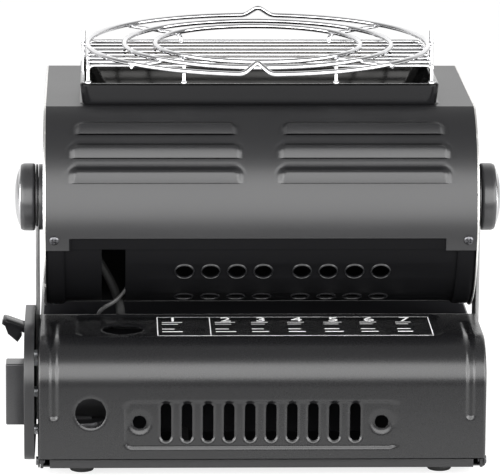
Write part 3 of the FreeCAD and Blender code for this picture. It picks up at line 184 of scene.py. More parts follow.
class Finish(Nodes):
    """One procedural material."""

    def __init__(self, name):
        self.material = bpy.data.materials.new(name)
        self.material.use_nodes = True
        super().__init__(self.material.node_tree)
        self.place = self.node("ShaderNodeTexCoord", out="Object")

    def noise(self, scale, detail=2.0, stretch=(1, 1, 1)):
        spot = self.node("ShaderNodeMapping", None, {"Vector": self.place, "Scale": stretch})
        return self.node("ShaderNodeTexNoise", None, {"Vector": spot, "Scale": scale, "Detail": detail}, "Fac")

    def colours(self, mask, first, second):
        """Two colours mixed by a mask; each is a linked one or three numbers."""
        first, second = (c if isinstance(c, Value) else (*c, 1) for c in (first, second))
        return self.node("ShaderNodeMix", {"data_type": "RGBA"}, {"Factor": mask, 6: first, 7: second}, 2)

    def bump(self, height, strength, depth):
        return self.node("ShaderNodeBump", None, {"Height": height, "Strength": strength, "Distance": depth},
                         "Normal")

    def surface(self, **sockets):
        names = {"colour": "Base Color", "rough": "Roughness", "metal": "Metallic", "normal": "Normal",
                 "specular": "Specular IOR Level"}
        values = {}
        for key, value in sockets.items():
            if key == "colour" and not isinstance(value, Value):
                value = (*value, 1)
            values[names[key]] = value
        return self.node("ShaderNodeBsdfPrincipled", None, values, "BSDF")

    def done(self, shader):
        self.ends("ShaderNodeOutputMaterial", shader)
        return self.material


def enamel(name, colour, rough, peel, specular=0.5):
    """Stoved enamel on sheet steel: fine orange peel, faint uneven gloss."""
    f = Finish(name)
    wide = f.noise(14.0, 3.0)
    fine = f.noise(900.0, 2.0)
    grain = f.noise(2600.0, 1.0)
    lighter = tuple(c * 1.5 for c in colour)
    shade = f.colours(grain.ramp(0.35, 0.75) * 0.6 + wide * 0.25, colour, lighter)
    gloss = rough + (wide - 0.5) * 0.06 + (grain - 0.5) * 0.05
    return f.done(f.surface(colour=shade, rough=gloss, specular=specular,
                            normal=f.bump(fine + grain * 0.5, peel, 0.00006)))


def bare_edge_enamel(name, colour, rough):
    """Enamelled plate whose sheared edge shows bright steel."""
    f = Finish(name)
    side = f.node("ShaderNodeNewGeometry", None, None, "True Normal")
    level = f.node("ShaderNodeMath", {"operation": "ABSOLUTE"}, {0: f.part(side, "X")})
    wear = f.noise(260.0, 3.0)
    bare = level.ramp(0.5, 0.75, 1.0, 0.0) * wear.ramp(0.2, 0.42)
    shade = f.colours(bare, colour, (0.78, 0.77, 0.75))
    gloss = rough + (f.noise(700.0) - 0.5) * 0.08 - bare * 0.1
    return f.done(f.surface(colour=shade, rough=gloss, metal=bare,
                            normal=f.bump(f.noise(900.0), 0.12, 0.00005)))


def bright_metal(name, colour, rough, brushed=0.0, tint=0.9, direction=(1, 1, 1)):
    """Plated or polished metal, with faint brushing where it has a direction."""
    f = Finish(name)
    haze = f.noise(60.0, 3.0)
    lines = f.noise(420.0, 2.0, direction)
    shade = f.colours(haze.ramp(0.3, 0.8), colour, tuple(c * tint for c in colour))
    gloss = rough + (haze - 0.5) * 0.06 + (lines - 0.5) * brushed
    return f.done(f.surface(colour=shade, rough=gloss, metal=1.0, normal=f.bump(lines, 0.08, 0.00003)))


def moulded(name, colour, rough, grain=1500.0, depth=0.0001):
    """Moulded plastic or rubber with a fine spark-eroded grain."""
    f = Finish(name)
    fine = f.noise(grain, 2.0)
    wide = f.noise(30.0)
    shade = f.colours(wide.ramp(0.3, 0.8), colour, tuple(c * 1.3 for c in colour))
    return f.done(f.surface(colour=shade, rough=rough + (fine - 0.5) * 0.15,
                            normal=f.bump(fine, 0.25, depth)))


def cast(name, colour, rough):
    """Die-cast or sand-blasted alloy."""
    f = Finish(name)
    pits = f.noise(1100.0, 4.0)
    cloud = f.noise(45.0, 3.0)
    shade = f.colours(cloud.ramp(0.3, 0.75), colour, tuple(c * 0.75 for c in colour))
    return f.done(f.surface(colour=shade, rough=rough + (pits - 0.5) * 0.2, metal=0.9,
                            normal=f.bump(pits, 0.35, 0.0001)))


def plaque(name):
    """Fired ceramic with rows of fine burner holes on its flat face."""
    f = Finish(name)
    per_metre = 2 * math.pi / 0.0026

    def wave(axis):
        return f.node("ShaderNodeMath", {"operation": "SINE"}, {0: f.part(f.place, axis) * per_metre})
    hole = (wave("X") * wave("Y")).ramp(0.35, 0.6)
    stain = f.noise(40.0, 4.0)
    clay = f.colours(stain.ramp(0.3, 0.8), (0.74, 0.69, 0.6), (0.6, 0.52, 0.42))
    # The burner holes are painted near black: painted shade inside them.
    shade = f.colours(hole, clay, (0.03, 0.025, 0.02))
    return f.done(f.surface(colour=shade, rough=0.85, normal=f.bump(1.0 - hole, 0.5, 0.0004)))


FINISHES = {}


def mix_finishes(colours):
    black, chrome = tuple(colours.enamel), tuple(colours.chrome)

    def black_times(share):
        return tuple(c * share for c in black)
    FINISHES.update({
        "black_enamel": enamel("black enamel", black, 0.36, 0.16),
        # Darker enamel with almost no reflection: painted shade where the head's lower flange, its side strips
        # and the sheet behind the louvres lie in shade.
        "dark_enamel": enamel("inner enamel", black_times(0.6), 0.42, 0.2, specular=0.03),
        # Dull enamel with no reflection: painted shade on the rear housing's deck and the divider wall, which
        # lie in shade.
        "deck_shade_enamel": enamel("sooty enamel", black_times(2.2), 0.8, 0.2, specular=0.0),
        "lid_enamel": enamel("lid enamel", black_times(0.8), 0.27, 0.1),
        "gloss_enamel": enamel("rim enamel", black_times(0.7), 0.12, 0.04, specular=0.06),
        "edge_plate": bare_edge_enamel("edge plate", black, 0.42),
        "wire_chrome": bright_metal("wire chrome", chrome, 0.09, 0.03, 0.85),
        "polished_steel": bright_metal("mirror steel", (0.018, 0.0178, 0.0175), 0.1, 0.08, 0.8, (1, 30, 1)),
        "zinc_steel": bright_metal("zinc steel", (0.52, 0.53, 0.55), 0.32, 0.12, 0.8, (1, 20, 1)),
        "screw_steel": bright_metal("black screws", (0.09, 0.09, 0.095), 0.3, 0.1),
        "cast_alloy": cast("cast alloy", (0.13, 0.13, 0.135), 0.45),
        "bead_steel": bright_metal("bead steel", (0.8, 0.8, 0.8), 0.2, 0.04),
        "brass": bright_metal("brass", (0.72, 0.52, 0.22), 0.24, 0.1),
        "ceramic": plaque("ceramic"),
        "black_plastic": moulded("black plastic", (0.016, 0.016, 0.017), 0.36),
        "knob_plastic": moulded("knob plastic", (0.02, 0.02, 0.021), 0.3, 2200.0, 0.00004),
        "cap_chrome": bright_metal("cap chrome", (0.66, 0.66, 0.67), 0.16, 0.12, 0.8),
        "rubber": moulded("rubber", (0.014, 0.014, 0.014), 0.62, 700.0, 0.0002),
        "lead_jacket": moulded("lead jacket", (0.06, 0.06, 0.06), 0.4, 900.0, 0.0001),
        "air_lip": enamel("air lip", black, 0.26, 0.05, specular=0.25),
        "cut_edge": bright_metal("cut edge", (0.3, 0.3, 0.3), 0.4, 0.05),
        "label_ink": moulded("label ink", (0.78, 0.78, 0.78), 0.45, 900.0, 0.00002),
    })


# Mesh helpers

def repaint(obj, paint):
    obj.data.materials.clear()
    obj.data.materials.append(FINISHES[paint])


def linked(name, data, paint=None):
    obj = bpy.data.objects.new(name, data)
    bpy.context.scene.collection.objects.link(obj)
    if paint:
        repaint(obj, paint)
    return obj


def from_points(name, points, faces, paint, edges=()):
    mesh = bpy.data.meshes.new(name)
    mesh.from_pydata(to_row(points).tolist(), list(edges), faces)
    mesh.validate()
    return linked(name, mesh, paint)


def baked(obj, sharp=None):
    """Turns live modifiers into a plain mesh."""
    view = bpy.context.evaluated_depsgraph_get()
    mesh = bpy.data.meshes.new_from_object(obj.evaluated_get(view))
    if obj.type != "MESH":
        made = linked(obj.name, mesh)
        bpy.data.objects.remove(obj)
        obj = made
    else:
        obj.modifiers.clear()
        obj.data = mesh
    if sharp:
        mesh.shade_smooth()
        mesh.set_sharp_from_angle(angle=math.radians(sharp))
    return obj


def cleaned(mesh, near=1e-7):
    """Merges points that lie together, drops loose ones and turns the faces outwards."""
    work = bmesh.new()
    work.from_mesh(mesh)
    bmesh.ops.remove_doubles(work, verts=work.verts, dist=near)
    loose = [v for v in work.verts if not v.link_faces]
    bmesh.ops.delete(work, geom=loose, context="VERTS")
    bmesh.ops.recalc_face_normals(work, faces=work.faces)
    work.to_mesh(mesh)
    work.free()


def settled(obj, body, slot, *nodes):
    """Puts a finished piece on its body and names what it stands for."""
    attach(obj, body)
    if nodes:
        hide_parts(*nodes)
    return obj


def eased(node, width, paint=None):
    """The same plate with its sheared and folded edges slightly rounded, to catch the light."""
    source = frame["nodes"][node]
    mesh = source.data.copy()
    work = bmesh.new()
    work.from_mesh(mesh)
    bmesh.ops.remove_doubles(work, verts=work.verts, dist=2e-6)
    bmesh.ops.dissolve_limit(work, angle_limit=math.radians(0.6), verts=work.verts, edges=work.edges)
    work.to_mesh(mesh)
    work.free()
    obj = linked(node + "_finish", mesh, paint or SLOTS[node])
    bevel = obj.modifiers.new("ease", "BEVEL")
    bevel.width, bevel.segments, bevel.limit_method = width * MM, 2, "ANGLE"
    bevel.angle_limit = math.radians(40)
    bevel.use_clamp_overlap = True
    return settled(baked(obj, 32), source["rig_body"], SLOTS[node], node)


def step(t):
    t = np.clip(t, 0.0, 1.0)
    return t * t * (3 - 2 * t)


def pill(x, s, cx, cs, half, radius):
    """Signed distance to an upright slot."""
    return np.hypot(x - cx, np.maximum(np.abs(s - cs) - half, 0.0)) - radius


def soft_box(x, s, cx, cs, hx, hs, corner):
    """Signed distance to a rectangle with round corners."""
    dx, ds = np.abs(x - cx) - (hx - corner), np.abs(s - cs) - (hs - corner)
    return np.hypot(np.maximum(dx, 0), np.maximum(ds, 0)) + np.minimum(np.maximum(dx, ds), 0) - corner


def spread(stops):
    """Grid lines from (place, pitch up to the next place) pairs; a place may be repeated for a slit."""
    values = []
    for (start, pitch), (end, _) in zip(stops, stops[1:]):
        count = max(1, int(round((end - start) / pitch)))
        values += [start + (end - start) * i / count for i in range(count)]
    return values + [stops[-1][0]]


SLIT_OPENS = 0.02


def with_gauge(obj, thickness, sharp):
    """Gives a sheet its thickness, inwards."""
    gauge = obj.modifiers.new("gauge", "SOLIDIFY")
    gauge.thickness, gauge.offset = thickness * MM, -1.0
    return baked(obj, sharp)


def pressed_sheet(name, xs, rows, surface, press, holes, paint, thickness, sharp=38):
    """Sheet drawn over surface(x, s), pressed along its normal, pierced by holes and given its gauge.

    rows holds (s, side): at a slit the same s comes twice, seen from just below (-1) and above (1)."""
    columns = np.array(xs)
    s = np.array([r[0] for r in rows])
    look = s + np.array([r[1] for r in rows]) * 1e-4
    x_grid, s_grid = np.meshgrid(columns, s)
    look_grid = np.meshgrid(columns, look)[1]
    gone = np.zeros(x_grid.shape, bool)
    near_x = np.gradient(columns)[None, :]
    near_s = np.maximum(np.gradient(s), 0.3)[:, None]
    for hole in holes:
        d, e = hole(x_grid, s_grid), 1e-3
        gx = (hole(x_grid + e, s_grid) - d) / e
        gs = (hole(x_grid, s_grid + e) - d) / e
        reach = 0.62 * np.maximum(np.abs(gx) * near_x, np.abs(gs) * near_s)
        snap = np.abs(d) < reach
        x_grid = np.where(snap, x_grid - d * gx, x_grid)
        s_grid = np.where(snap, s_grid - d * gs, s_grid)
        look_grid = np.where(snap, look_grid - d * gs, look_grid)
        gone |= (d < 0) & ~snap
    points, normals = surface(x_grid, s_grid)
    lift = press(x_grid, look_grid)
    points = points + normals * lift[..., None]
    n_rows, n_cols = x_grid.shape
    index = np.arange(n_rows * n_cols).reshape(n_rows, n_cols)
    quad = np.stack([index[:-1, :-1], index[:-1, 1:], index[1:, 1:], index[1:, :-1]], -1)
    bad = gone[:-1, :-1] | gone[:-1, 1:] | gone[1:, 1:] | gone[1:, :-1]
    slit = s[1:] == s[:-1]
    closed = np.abs(lift[1:] - lift[:-1]) <= SLIT_OPENS
    for i in np.nonzero(slit)[0]:
        points[i + 1][closed[i]] = points[i][closed[i]]
    obj = from_points(name, points.reshape(-1, 3), quad[~(bad | slit[:, None])].tolist(), paint)
    cleaned(obj.data, 2e-6)
    middle = obj.data.polygons[len(obj.data.polygons) // 2]
    facing = normals.reshape(-1, 3)
    if Vector(facing[len(facing) // 2]).dot(middle.normal) < 0:
        obj.data.flip_normals()
    return with_gauge(obj, thickness, sharp)


def bands(rings, count):
    """Faces between closed rings of points, each ring with the same count."""
    steps = [(i, (i + 1) % count) for i in range(count)]
    return [(low + i, low + j, low + count + j, low + count + i)
            for low in range(0, (rings - 1) * count, count) for i, j in steps]


def turned(name, profile, start, direction, paint, sides=72, sharp=35):
    """Lathe-turned part from (distance along, radius) pairs; the ends close on the axis."""
    axis = Vector(direction).normalized()
    u = axis.orthogonal().normalized()
    v = axis.cross(u)
    points = []
    first = Vector(start)
    for along, radius in profile:
        for i in range(sides):
            a = 2 * math.pi * i / sides
            points.append(first + axis * along + (u * math.cos(a) + v * math.sin(a)) * radius)
    last = (len(profile) - 1) * sides
    faces = [*bands(len(profile), sides), tuple(range(sides - 1, -1, -1)), tuple(range(last, last + sides))]
    obj = from_points(name, points, faces, paint)
    cleaned(obj.data)
    obj.data.shade_smooth()
    obj.data.set_sharp_from_angle(angle=math.radians(sharp))
    return obj


def rounded(corners, radius, steps=6):
    """A path or outline with short arcs at its corners; its two ends stay."""
    corners = [np.array(c, float) for c in corners]
    out = [corners[0]]
    for p, q, r in zip(corners, corners[1:], corners[2:]):
        before, after = np.linalg.norm(p - q), np.linalg.norm(r - q)
        cut = min(radius, 0.49 * before, 0.49 * after)
        for i in range(steps + 1):
            t = i / steps
            out.append(q + (p - q) / before * cut * (1 - t) ** 2 + (r - q) / after * cut * t ** 2)
    return [tuple(v) for v in out + [corners[-1]]]


# Geometry Nodes

def node_tree(name, inputs):
    """An empty tree with named inputs, its two end nodes and its closing pair of nodes."""
    tree = bpy.data.node_groups.new(name, "GeometryNodeTree")
    sockets = [("Geometry", "INPUT", "NodeSocketGeometry")]
    sockets += [(label, "INPUT", kind) for label, kind in inputs]
    sockets.append(("Geometry", "OUTPUT", "NodeSocketGeometry"))
    for label, way, kind in sockets:
        tree.interface.new_socket(label, in_out=way, socket_type=kind)
    source, result = tree.nodes.new("NodeGroupInput"), tree.nodes.new("NodeGroupOutput")
    real = tree.nodes.new("GeometryNodeRealizeInstances")
    paint = tree.nodes.new("GeometryNodeSetMaterial")
    join(tree, (real, "Geometry", paint, "Geometry"), (source, "Finish", paint, "Material"),
         (paint, "Geometry", result, "Geometry"))
    return tree, source, real


def join(tree, *rows):
    """Links each (node, output, node, input)."""
    for start, output, end, entry in rows:
        tree.links.new(start.outputs[output], end.inputs[entry])


def wire_tree():
    """Sweeps a round wire along the piece's edges and repeats it at a pitch."""
    tree, source, last = node_tree("heater wire", [
        ("Wire radius", "NodeSocketFloat"), ("Count", "NodeSocketInt"), ("Pitch", "NodeSocketVector"),
        ("Finish", "NodeSocketMaterial")])
    kinds = "MeshToCurve MeshLine InstanceOnPoints RealizeInstances CurvePrimitiveCircle CurveToMesh"
    path, row, place, real, ring, sweep = (tree.nodes.new("GeometryNode" + kind) for kind in kinds.split())
    row.mode = "OFFSET"
    ring.inputs["Resolution"].default_value = 12
    sweep.inputs["Fill Caps"].default_value = True
    join(tree, (source, "Geometry", path, "Mesh"), (source, "Count", row, "Count"),
         (source, "Pitch", row, "Offset"), (row, "Mesh", place, "Points"), (path, "Curve", place, "Instance"),
         (place, "Instances", real, "Geometry"), (source, "Wire radius", ring, "Radius"),
         (real, "Geometry", sweep, "Curve"), (ring, "Curve", sweep, "Profile Curve"),
         (sweep, "Mesh", last, "Geometry"))
    return tree


def scatter_tree():
    """Places a copy of one small part on each of the piece's points."""
    tree, source, last = node_tree("heater repeats", [
        ("Part", "NodeSocketObject"), ("Scale", "NodeSocketFloat"), ("Finish", "NodeSocketMaterial")])
    part, place = tree.nodes.new("GeometryNodeObjectInfo"), tree.nodes.new("GeometryNodeInstanceOnPoints")
    join(tree, (source, "Part", part, "Object"), (source, "Geometry", place, "Points"),
         (part, "Geometry", place, "Instance"), (source, "Scale", place, "Scale"),
         (place, "Instances", last, "Geometry"))
    return tree


TREES = {}


def run_tree(obj, kind, settings, sharp=50):
    if kind not in TREES:
        TREES[kind] = {"wire": wire_tree, "scatter": scatter_tree}[kind]()
    tree = TREES[kind]
    live = obj.modifiers.new(kind, "NODES")
    live.node_group = tree
    for item in tree.interface.items_tree:
        if item.item_type == "SOCKET" and item.in_out == "INPUT" and item.name in settings:
            live[item.identifier] = settings[item.name]
    return baked(obj, sharp)


def wires(name, paths, radius, paint="wire_chrome", count=1, pitch=(0, 0, 0), closed=False):
    """Round wires along paths of points, repeated count times at a pitch."""
    points, edges = [], []
    for path in paths:
        base = len(points)
        points += [tuple(p) for p in path]
        edges += [(base + i, base + i + 1) for i in range(len(path) - 1)]
        if closed:
            edges.append((base + len(path) - 1, base))
    obj = from_points(name, points, [], None, edges)
    step_m = tuple(v * MM for v in pitch)
    return run_tree(obj, "wire", {"Wire radius": radius * MM, "Count": count, "Pitch": step_m,
                                  "Finish": FINISHES[paint]})


def repeats(name, part, spots, paint):
    """Copies of a small part, made about the origin, at layout spots."""
    obj = from_points(name, spots, [], None)
    obj = run_tree(obj, "scatter", {"Part": part, "Scale": 1.0, "Finish": FINISHES[paint]}, 35)
    bpy.data.objects.remove(part)
    return obj


# Head

def head_s(degrees):
    return HEAD_R * math.radians(degrees)


HEAD_FOLD = head_s(FOLD_DEG)
FOLD_Y = PIVOT_Y - HEAD_R * math.cos(math.radians(FOLD_DEG))
LOUVRES = [(28.0, 51.0), (41.2, 51.0), (55.0, 48.5)]
LOUVRE_SWEEP, LOUVRE_PROUD, LOUVRE_X = 9.0, 3.0, 61.0
JOGGLE_TOP, JOGGLE_LOW, JOGGLE_STEP = -9.9, -17.0, 1.7
JOGGLE_LEFT, JOGGLE_RIGHT = -112.4, 108.4


def head_surface(x, s):
    a = np.minimum(s, HEAD_FOLD) / HEAD_R
    flat = np.maximum(s - HEAD_FOLD, 0.0)
    on_flat = (s > HEAD_FOLD)[..., None]
    y = PIVOT_Y - HEAD_R * np.cos(a) + flat
    z = PIVOT_Z + HEAD_R * np.sin(a)
    normal = np.stack([np.zeros_like(a), -np.cos(a), np.sin(a)], -1)
    normal = np.where(on_flat, np.array([0.0, 0.0, 1.0]), normal)
    return np.stack([x, y, z], -1), normal


def head_press(x, s):
    lift = np.zeros_like(x)
    for top, half in LOUVRES:
        low_s, top_s = head_s(top - LOUVRE_SWEEP), head_s(top)
        for side in (-1, 1):
            inside = -soft_box(x, s, SLOT_X0 + side * LOUVRE_X, top_s - 15.0, half, 15.0, 6.0)
            fall = np.clip((low_s + 6.0 - s) / 6.0, 0.0, 1.0)
            hood = LOUVRE_PROUD * step(inside / 4.2) * (1.0 - 0.5 * fall ** 1.4)
            groove = -0.34 * step(1.0 - np.abs(inside + 0.5) / 1.3)
            pressed = np.where(inside > 0.4, hood + groove, groove)
            lift = np.where((s >= low_s) & (inside > -2.0), pressed, lift)
    down = step((head_s(JOGGLE_TOP) - s) / 1.1)
    within = step((x - JOGGLE_LEFT) / 1.4) * step((JOGGLE_RIGHT - x) / 1.4)
    return lift - JOGGLE_STEP * down * within


def second_finish(obj, paint, test):
    """Gives the faces that pass the test another finish."""
    obj.data.materials.append(FINISHES[paint])
    for face in obj.data.polygons:
        if test(face):
            face.material_index = len(obj.data.materials) - 1


def head_rows():
    stops = [(head_s(JOGGLE_LOW), 1.3), (head_s(-11.2), 0.35), (head_s(-9.7), 2.6)]
    for top, _ in LOUVRES:
        stops += [(head_s(top - LOUVRE_SWEEP) - 1.0, 0.5), (head_s(top - LOUVRE_SWEEP), 0.0)]
        yield from [(v, 1) for v in spread(stops)[:-1]]
        low = head_s(top - LOUVRE_SWEEP)
        yield (low, -1)
        yield (low, 1)
        stops = [(low + 0.4, 0.75), (head_s(top) + 0.4, 2.0)]
    stops += [(HEAD_FOLD - 1.5, 0.5), (HEAD_FOLD + 1.5, 1.2), (HEAD_FOLD + 9.0, 4.0),
              (HEAD_FOLD + FACE_FAR - FOLD_Y, 1.0)]
    yield from [(v, 1) for v in spread(stops)]


def collar(name, inner, outer, deep, start, side, paint, ease):
    """Flat ring about the tilt axis."""
    outline = rounded([(0.0, inner), (0.0, outer), (deep, outer), (deep, inner)], ease, 3)
    return turned(name, outline, (side * start, PIVOT_Y, PIVOT_Z), (side, 0, 0), paint, 80, 40)


BEAD_INNER, BEAD_THICK = 126.45, {"left": 0.75, "right": 0.45}
WASHER_OUT, WASHER_RADII = 131.0, (9.0, 19.7)


def make_end_beads():
    """Bright folded rims of the head's two ends, and the washers on its pivots."""
    for side, word in SIDES:
        thick = BEAD_THICK[word]
        x = side * (BEAD_INNER + thick)
        path = [on_head(HEAD_R - 0.9, a, x) for a in np.linspace(-86.0, FOLD_DEG - 2.0, 60)]
        path += [(x, y, FACE_Z - 1.1) for y in np.linspace(FOLD_Y + 2.0, FACE_FAR - 2.0, 12)]
        bead = wires("end_bead_" + word, [path], thick, "bead_steel")
        settled(bead, "head", "black_enamel")
        start = BEAD_INNER + 2 * thick + 0.1
        deep = WASHER_OUT - start
        washer = collar("pivot_washer_" + word, *WASHER_RADII, deep, start, side, "knob_plastic", 0.4)
        settled(washer, "head", "black_enamel")


def make_head_casing():
    stops = [(-HEAD_HALF, 0.8), (-HEAD_HALF + 0.8, 2.4), (-114.5, 0.9), (-102.0, 2.2), (-20.0, 0.9),
             (19.0, 2.2), (100.0, 0.9), (113.0, 2.4), (HEAD_HALF - 0.8, 0.8), (HEAD_HALF, 1.0)]
    mouth = (0.0, HEAD_FOLD + RIM_Y - FOLD_Y, 102.5, 39.0, 5.0)
    flange_shade_z = PIVOT_Z + HEAD_R * math.sin(math.radians(-10.4))
    casing = pressed_sheet("head_casing", spread(stops), list(head_rows()), head_surface, head_press,
                           [lambda x, s: soft_box(x, s, *mouth)], "black_enamel", 1.0)
    # The lower flange's faces take the darker, unreflective finish: painted shade where the flange lies
    # recessed under the shell.
    second_finish(casing, "dark_enamel", lambda p: p.center.z < flange_shade_z * MM and
                  JOGGLE_LEFT * MM < p.center.x - ORIGIN[0] < JOGGLE_RIGHT * MM)
    settled(casing, "head", "black_enamel", "head_shell")
    # A dark, almost unreflective sheet close behind the louvres: painted shade in their slits, standing where
    # a heat shield sits.
    liner = [(v, 1) for v in np.linspace(head_s(14.0), head_s(60.0), 36)]
    shield = pressed_sheet("heat_shield", list(np.linspace(-112.0, 112.0, 30)), liner, head_surface,
                           lambda x, s: np.full_like(x, -4.2), [], "dark_enamel", 0.6)
    settled(shield, "head", "black_enamel")
    rows = [(v, 1) for v in np.linspace(head_s(-88.0), head_s(-15.0), 40)]
    for side, word in SIDES:
        xs = sorted(side * v for v in np.linspace(115.5, 126.2, 12))

        def strip_press(x, s, middle=side * 120.8):
            rail = step((5.2 - np.abs(x - middle)) / 1.2)
            return -1.9 + 0.9 * rail * step((s - head_s(-86.0)) / 1.5)
        # The side strips take the darker, unreflective finish: painted shade under the head's ends.
        strip = pressed_sheet("side_strip_" + word, xs, rows, head_surface, strip_press, [],
                              "dark_enamel", 0.8)
        settled(strip, "head", "black_enamel")
    for _, word in SIDES:
        eased("head_end_" + word, 0.15, "edge_plate")
    make_end_beads()
    eased("head_rear_cover", 0.4)
    eased("lower_air_panel", 0.3)


AIR_R, AIR_X = 62.2, [start + i * 15.5 for start in (-45.0, 24.3) for i in range(4)]


def make_air_lips():
    """Rolled lips around the burner's air holes."""
    for name, deg in (("upper", -33.0), ("lower", -60.0)):
        out = outwards(deg)
        profile = [(-0.9, 5.1), (-0.2, 5.0), (0.35, 5.1), (0.6, 5.35), (0.5, 5.65), (0.1, 5.95), (-0.2, 6.2)]
        lip = turned("air_lip_part", profile, -ORIGIN / MM, out, "zinc_steel", 40)
        work = bmesh.new()
        work.from_mesh(lip.data)
        ends = [face for face in work.faces if len(face.verts) > 4]
        bmesh.ops.delete(work, geom=ends, context="FACES_ONLY")
        work.to_mesh(lip.data)
        work.free()
        spots = [on_head(AIR_R, deg, x) for x in AIR_X]
        rings = repeats("air_hole_lips_" + name, lip, spots, "air_lip")
        settled(rings, "head", "dark_enamel")


def round_loop(hx, hy, corner, z):
    """Points round a rectangle with round corners, always the same number."""
    points = []
    for sx, sy, turn in ((1, -1, -90), (1, 1, 0), (-1, 1, 90), (-1, -1, 180)):
        for i in range(9):
            a = math.radians(turn + 90 * i / 8)
            points.append((sx * (hx - corner) + corner * math.cos(a), RIM_Y + sy * (hy - corner)
                           + corner * math.sin(a), z))
    return points


def make_reflector():
    hx, hy = RIM_HALF
    fx, fy = DISH_HALF
    stations = [(hx + 0.6, hy + 0.6, 7.6, FACE_Z + 0.05), (hx - 0.9, hy - 0.9, 6.3, FACE_Z + 0.7),
                (hx + 0.3, hy + 0.3, 7.3, RIM_TOP - 1.9), (hx + 0.2, hy + 0.2, 7.1, RIM_TOP - 0.9),
                (hx - 0.3, hy - 0.3, 6.7, RIM_TOP - 0.3), (hx - 0.9, hy - 0.9, 6.3, RIM_TOP - 0.02),
                (hx - 1.9, hy - 1.9, 5.6, RIM_TOP - 0.02), (hx - 2.4, hy - 2.4, 5.2, RIM_TOP - 0.4),
                (hx - 3.0, hy - 2.8, 5.2, RIM_TOP - 1.6), (fx + 6.0, fy + 3.6, 6.5, DISH_Z + 8.5),
                (fx + 1.6, fy + 1.1, 7.0, DISH_Z + 1.6), (fx + 0.3, fy + 0.2, 6.8, DISH_Z + 0.4),
                (fx - 1.2, fy - 1.0, 6.0, DISH_Z + 0.02), (fx - 7.0, fy - 6.5, 3.0, DISH_Z + 0.02),
                (*PLAQUE_HALF, 1.2, DISH_Z + 0.02)]
    points = [p for station in stations for p in round_loop(*station)]
    count = len(points) // len(stations)
    dish = from_points("reflector_dish", points, bands(len(stations), count), "gloss_enamel")
    second_finish(dish, "polished_steel", lambda p: p.index >= 3 * count)
    settled(with_gauge(dish, 0.8, 40), "head", "polished_steel", "reflector")


# Wires on the head

GUARD_X, GUARD_Y, GUARD_COUNT, WIRE_FOOT = 101.5, 41.25, 8, RIM_TOP - 0.2
RING_RADII, LEG_X, RADIAL_REACH, POST_X = (102.0, 80.0, 61.5), 45.0, 103.5, 104.4


def make_wires(sizes):
    pitch = 2 * GUARD_Y / (GUARD_COUNT - 1)
    near, far = RIM_Y - GUARD_Y, RIM_Y + GUARD_Y
    guard = sizes.guard_wire / MM / 2
    bar = [(-GUARD_X, near + pitch, GUARD_Z), (GUARD_X, near + pitch, GUARD_Z)]
    middle = wires("guard_bars", [bar], guard, count=GUARD_COUNT - 2, pitch=(0, pitch, 0))
    settled(middle, "head", "wire_chrome", "guard_grill")
    hoop = rounded([(-GUARD_X, near, WIRE_FOOT), (-GUARD_X, near, GUARD_Z), (GUARD_X, near, GUARD_Z),
                    (GUARD_X, near, WIRE_FOOT)], 4.0)
    outer = wires("guard_hoops", [hoop], guard, count=2, pitch=(0, 2 * GUARD_Y, 0))
    settled(outer, "head", "wire_chrome")
    rail = [(-GUARD_X, near - 2.0, GUARD_Z - 0.9), (-GUARD_X, far + 2.0, GUARD_Z - 0.9)]
    rails = wires("guard_rails", [rail], guard, count=2, pitch=(2 * GUARD_X, 0, 0))
    settled(rails, "head", "wire_chrome")
    make_rings(sizes.ring_wire / MM / 2)


def ring_arc(radius, first, last, count):
    turns = np.linspace(first, last, count)
    return [(radius * math.cos(a), RIM_Y + radius * math.sin(a), RING_Z) for a in turns]


PEAK_GAP, PEAK_IN, PEAK_UP, PEAK_ASKEW = 8.0, 6.5, 6.2, -2.2


def peaked_ring(radius):
    """The outer ring, with a raised point on its near and far sides."""
    span = math.pi / 2 - math.asin(PEAK_GAP / radius)
    far, near = ((0.0, RIM_Y + way * (radius - PEAK_IN), RING_Z + PEAK_UP) for way in (1, -1))
    path = [*ring_arc(radius, 0.0, span, 25), far, *ring_arc(radius, math.pi - span, math.pi + span, 50), near,
            *ring_arc(radius, -span, -0.04, 25)]
    middle = Vector((0, RIM_Y, 0))
    askew = Matrix.Rotation(math.radians(PEAK_ASKEW), 3, "Z")
    return [tuple(askew @ (Vector(p) - middle) + middle) for p in rounded(path, 3.0, 4)]


def make_rings(ring):
    outer, *inner = RING_RADII
    paths = [peaked_ring(outer), *(ring_arc(r, 0, 2 * math.pi, 121)[:-1] for r in inner)]
    rings = wires("pot_ring_hoops", paths, ring, closed=True)
    settled(rings, "head", "wire_chrome", "pot_rings")
    legs, blobs = [], []
    under = RING_Z - 1.4
    out = math.hypot(LEG_X, GUARD_Y)
    for sx in (-1, 1):
        for sy in (-1, 1):
            x, y = sx * LEG_X, sy * GUARD_Y
            legs.append(rounded([(x * RADIAL_REACH / out, RIM_Y + y * RADIAL_REACH / out, under),
                                 (x, RIM_Y + y, under), (x, RIM_Y + y, WIRE_FOOT)], 5.0))
            blobs += [(x * r / out, RIM_Y + y * r / out, RING_Z - 0.8) for r in RING_RADII[:2]]
            blobs += [(x, RIM_Y + y, RIM_TOP + 0.6), (sx * GUARD_X, RIM_Y + y, RIM_TOP + 0.6)]
        legs.append([(sx * POST_X, RIM_Y, WIRE_FOOT), (sx * POST_X, RIM_Y, RING_Z + 8.0)])
        blobs.append((sx * 104.0, RIM_Y, RING_Z - 0.2))
    settled(wires("pot_ring_legs", legs, 1.25), "head", "wire_chrome")
    bead = bmesh.new()
    bmesh.ops.create_icosphere(bead, subdivisions=2, radius=1.0 * MM)
    bmesh.ops.scale(bead, vec=(2.0, 2.0, 1.5), verts=bead.verts)
    mesh = bpy.data.meshes.new("weld_part")
    bead.to_mesh(mesh)
    bead.free()
    welds = repeats("weld_beads", linked("weld_part", mesh), blobs, "wire_chrome")
    settled(welds, "head", "wire_chrome")


# Lid

